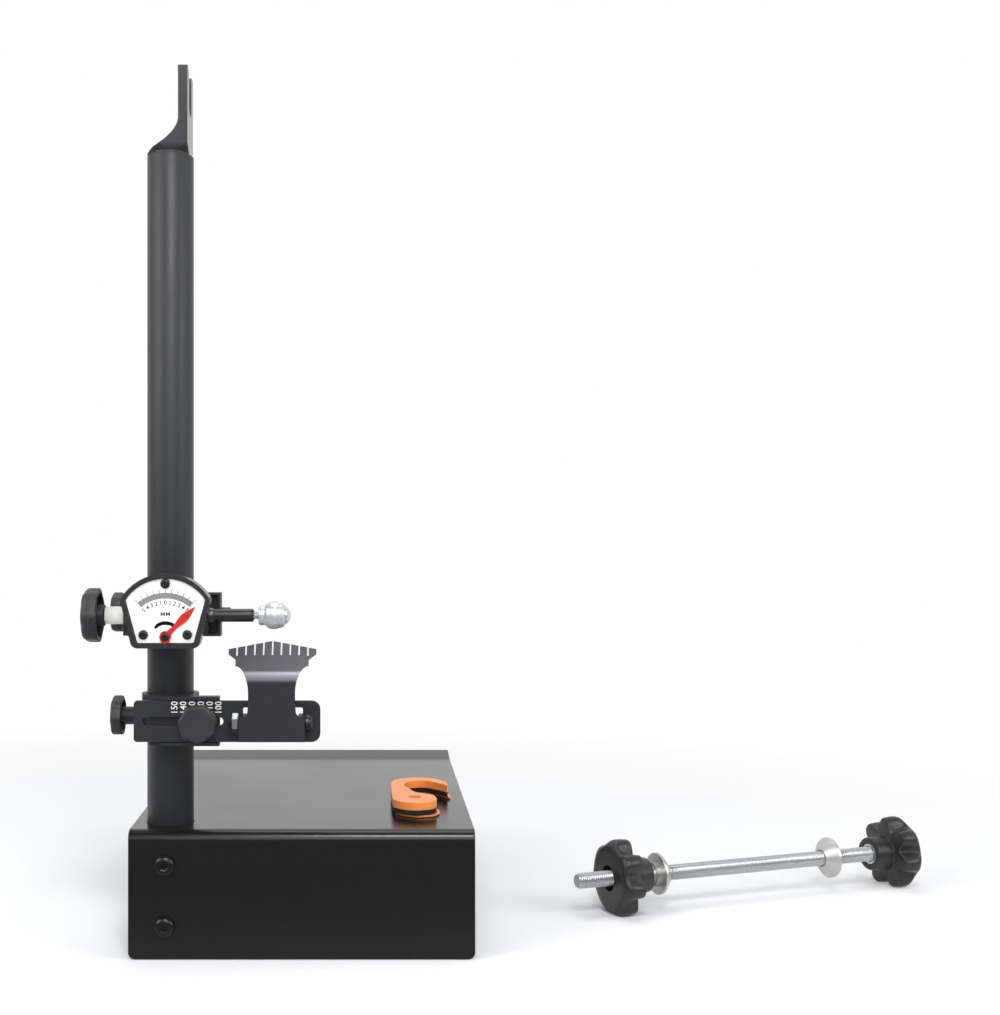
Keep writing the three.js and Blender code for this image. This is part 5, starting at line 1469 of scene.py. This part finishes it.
low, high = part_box("plate_bolt")
seat, head_radius = dish_x + ear_outer + clearance, (high.z - low.z) / 2
bolt = turned("plate_bolt_piece", [
    *threaded_bar(low.x, seat, **bolt_stud)[:-1], (seat, head_radius - bolt_rim),
    (seat + bolt_rim, head_radius), *dome(seat, high.x, head_radius),
    (high.x, bolt_mouth, "flatted"), (high.x - bolt_mouth, bolt_socket, "flatted"),
    (high.x - bolt_drill, 0)], (0, hinge_y, dish_height), (1, 0, 0), dark_steel, steps=72,
    flats=6, pitch=bolt_stud["pitch"], thread_depth=bolt_groove)
dress(bolt, "plate", "dark_steel", "plate_bolt")
low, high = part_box("plate_nut")
hexagon = (high.y - low.y) / 2 / math.cos(math.radians(30))
nut = turned("plate_nut_piece", [
    (low.x, nut_bore), (low.x, nut_collar), (low.x + nut_start, nut_foot),
    (low.x + nut_rise, hexagon, "flatted"), (high.x - nut_chamfer, hexagon, "flatted"),
    (high.x, hexagon - nut_chamfer, "flatted"), (high.x, nut_bore), (low.x, nut_bore)],
    (0, hinge_y, dish_height), (1, 0, 0), zinc, steps=72, flats=6)
dress(nut, "plate", "zinc", "plate_nut")

# %% [markdown]
# ## Hook spacer
# The loose spacer is a hook of two orange plates with a black pad between them. A few control
# points give the outline and a closed smooth curve runs through them.

# %% Hook outline
hook_shares = [           # across and along, as shares of the hook's own box
    (0.02, 0.14), (0.0, 0.3), (0.0, 0.53), (0.0, 0.74), (0.03, 0.84), (0.09, 0.905),
    (0.18, 0.955), (0.27, 0.978), (0.38, 0.993), (0.5, 1.0), (0.62, 0.993), (0.735, 0.965),
    (0.84, 0.93), (0.93, 0.87), (0.985, 0.8), (1.0, 0.74), (0.985, 0.678), (0.93, 0.71),
    (0.85, 0.76), (0.74, 0.822), (0.63, 0.866), (0.5, 0.873), (0.355, 0.845), (0.27, 0.79),
    (0.235, 0.72), (0.245, 0.64), (0.3, 0.572), (0.345, 0.48), (0.41, 0.41), (0.54, 0.352),
    (0.665, 0.312), (0.715, 0.26), (0.742, 0.158), (0.71, 0.084), (0.63, 0.04), (0.54, 0.02),
    (0.375, 0.0), (0.2, 0.03), (0.09, 0.075)]
hook_hole, hole_across, hole_along = 3.85 * mm, 0.382, 0.225
hook_inset = 0.02 * mm    # keeps the curve between the points inside the box
hook_layers = (           # node, finish, slot, edge and its segments
    ("hook_top", orange, "orange_plastic", 0.9 * mm, 4),
    ("hook_pad", rubber, "black_rubber", 0.3 * mm, 2),
    ("hook_foot", orange, "orange_plastic", 0.3 * mm, 2))


def smooth_loop(points, steps=4):
    """A closed Catmull-Rom curve through the points."""
    count = len(points)
    loop = []
    for i in range(count):
        a, b, c, d = (Vector(points[(i + k) % count]) for k in (-1, 0, 1, 2))
        for t in [step / steps for step in range(steps)]:
            loop.append(0.5 * (2 * b + (c - a) * t + (2 * a - 5 * b + 4 * c - d) * t * t
                               + (3 * b - a - 3 * c + d) * t ** 3))
    return loop


hook_low, hook_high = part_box("hook_top")
hook_size = hook_high - hook_low
hook_curve = [(share.x * (hook_size.x - 2 * hook_inset), share.y * (hook_size.y - 2 * hook_inset))
              for share in smooth_loop(hook_shares)]
for node, material, slot, edge, segments in hook_layers:
    low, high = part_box(node)
    layer = prism(moved(hook_curve, low.x + hook_inset, low.y + hook_inset)[::-1], "Z", low.z,
                  high.z, node + "_piece")
    work(layer, "DIFFERENCE", through(
        circle(low.x + hole_across * hook_size.x, low.y + hole_along * hook_size.y, hook_hole,
               48), "Z", low.z, high.z))
    soften(layer, material, edge, segments, 50)
    dress(layer, "hook", slot, node)

# %% [markdown]
# ## Axle adapter
# The loose adapter is a threaded rod between two large knobs, with two cones that centre a
# hub. It lies askew on the floor, so its parts are turned along the rod's own line. That line
# runs through the middle of the rod's solid.

# %% Adapter
adapter_angle = math.radians(20)
along_rod = Vector((math.cos(adapter_angle), math.sin(adapter_angle), 0))
adapter_middle = Vector((366.1, 131.8, 22.5242)) * mm
adapter_half = 127 * mm
adapter_start = adapter_middle - along_rod * adapter_half
rod_end, rod_radius, rod_pitch, rod_groove, rod_chamfer = 242.7, 5, 1.5, 0.8, 1


def on_rod(name, profile, material, body, slot, node, **options):
    """Turn a part on the rod's line. Its rows are in millimetres from the adapter's near end."""
    part = turned(name, [(row[0] * mm, row[1] * mm, *row[2:]) for row in profile],
                  adapter_start, along_rod, material, **options)
    return dress(part, body, slot, node)


on_rod("threaded_rod", threaded_bar(0, rod_end, rod_radius, rod_pitch, rod_chamfer), zinc,
       "adapter", "zinc", "adapter_rod", steps=28, pitch=rod_pitch * mm,
       thread_depth=rod_groove * mm)

# %% Adapter knobs
near_front, near_back, near_hub = 22, 37, 50
far_front, far_back, far_hub = 251, 236, 223
knob_face, knob_radius, hub_radius, dome_length, insert_hole = 16.0, 24.0, 11.0, 6.0, 7.3
lobe_shape = {"steps": 168, "lobes": 7, "lobe_depth": 0.21, "lobe_width": 1.6,
              "spin": math.degrees(adapter_angle) - 180 / 7}     # a dip faces down


def big_knob(front, back, hub_end, sign):
    """Profile of a large knob from its front face to the end of its hub. Its domed front is
    nearly round, and the finger dips get deeper towards the back."""
    turns = [math.pi / 2 * step / 10 for step in range(11)]
    rows = [(front + sign * dome_length * (1 - math.cos(turn)),
             knob_face + (knob_radius - knob_face) * math.sin(turn), "lobed",
             math.sin(turn) ** 4)
            for turn in turns]
    return rows + [
        (front + sign * (dome_length + 3), knob_radius, "lobed", 1.2),
        (back - sign * 1.6, knob_radius - 0.4, "lobed", 1.45),
        (back - sign * 0.5, knob_radius - 0.9, "lobed", 1.5),
        (back, knob_radius - 2, "lobed", 1.5),
        (back, hub_radius + 1.6), (back + sign * 0.5, hub_radius + 0.5),
        (back + sign * 1.6, hub_radius), (hub_end - sign * 1.2, hub_radius),
        (hub_end - sign * 0.3, hub_radius - 0.4), (hub_end, hub_radius - 1.2),
        (hub_end, insert_hole)]


near_rows = [(near_hub, insert_hole), (near_front + 5, insert_hole), (near_front + 5, 8),
             (near_front + 0.4, 8), (near_front, 8.4), (near_front, 12)]
on_rod("near_knob", near_rows + big_knob(near_front, near_back, near_hub, 1), knob_plastic,
       "adapter_near_knob", "dark_plastic", "adapter_knob_near", **lobe_shape)
far_rows = [(far_hub + 20, 0), (far_hub + 20, insert_hole), (far_hub, insert_hole)]
far_rows += big_knob(far_front, far_back, far_hub, -1)[::-1]
far_rows += [(far_front, 15), (far_front + 1.2, 11), (far_front + 2.3, 7),
             (far_front + 2.9, 3), (far_front + 3, 0)]
on_rod("far_knob", far_rows, knob_plastic, "adapter", "dark_plastic", "adapter_knob_far",
       **lobe_shape)

# %% Adapter cones and inserts
cone_rows = [             # along and out from the boss end, in millimetres
    (0, 5.35), (0, 6.1), (0.2, 6.3), (1.66, 6.3), (1.66, 7.7), (1.95, 8), (5, 8), (5, 13),
    (5.3, 13.3), (6.6, 13.3), (6.9, 13.1), (12.6, 6.65), (12.8, 6.3), (12.8, 5.35), (0, 5.35)]
for side, boss_end, sign in (("near", 52, 1), ("far", 196.3, -1)):
    on_rod(side + "_cone", [(boss_end + sign * along, out) for along, out in cone_rows],
           satin_zinc, f"adapter_{side}_cone", "zinc", "adapter_cone_" + side, steps=96)
for side, start, end, body in (("near", 27.3, 49.7, "adapter_near_knob"),
                               ("far", 223.3, 242.7, "adapter")):
    on_rod(side + "_insert", [(start, 5.3), (start, 6.7), (start + 0.3, 7), (end - 0.3, 7),
                              (end, 6.7), (end, 5.3), (start, 5.3)], zinc, body, "zinc",
           "adapter_insert_" + side, steps=64)

# %% [markdown]
# ## Hidden pieces
# Parts that are out of sight keep their solids, and only get a better finish on their slots.

# %% Finishes for hidden pieces
hidden = {
    "column_saddle": dark_steel, "column_nut_bar": dark_steel, "bar_lock_stud": zinc,
    "gauge_screw_lower": dark_steel, "gauge_screw_upper": dark_steel, "plunger_fork": dark_steel}
for node, material in hidden.items():
    for slot_of in bpy.data.objects[node].material_slots:
        slot_of.link = "OBJECT"
        slot_of.material = material
print("hidden pieces:", len(hidden))
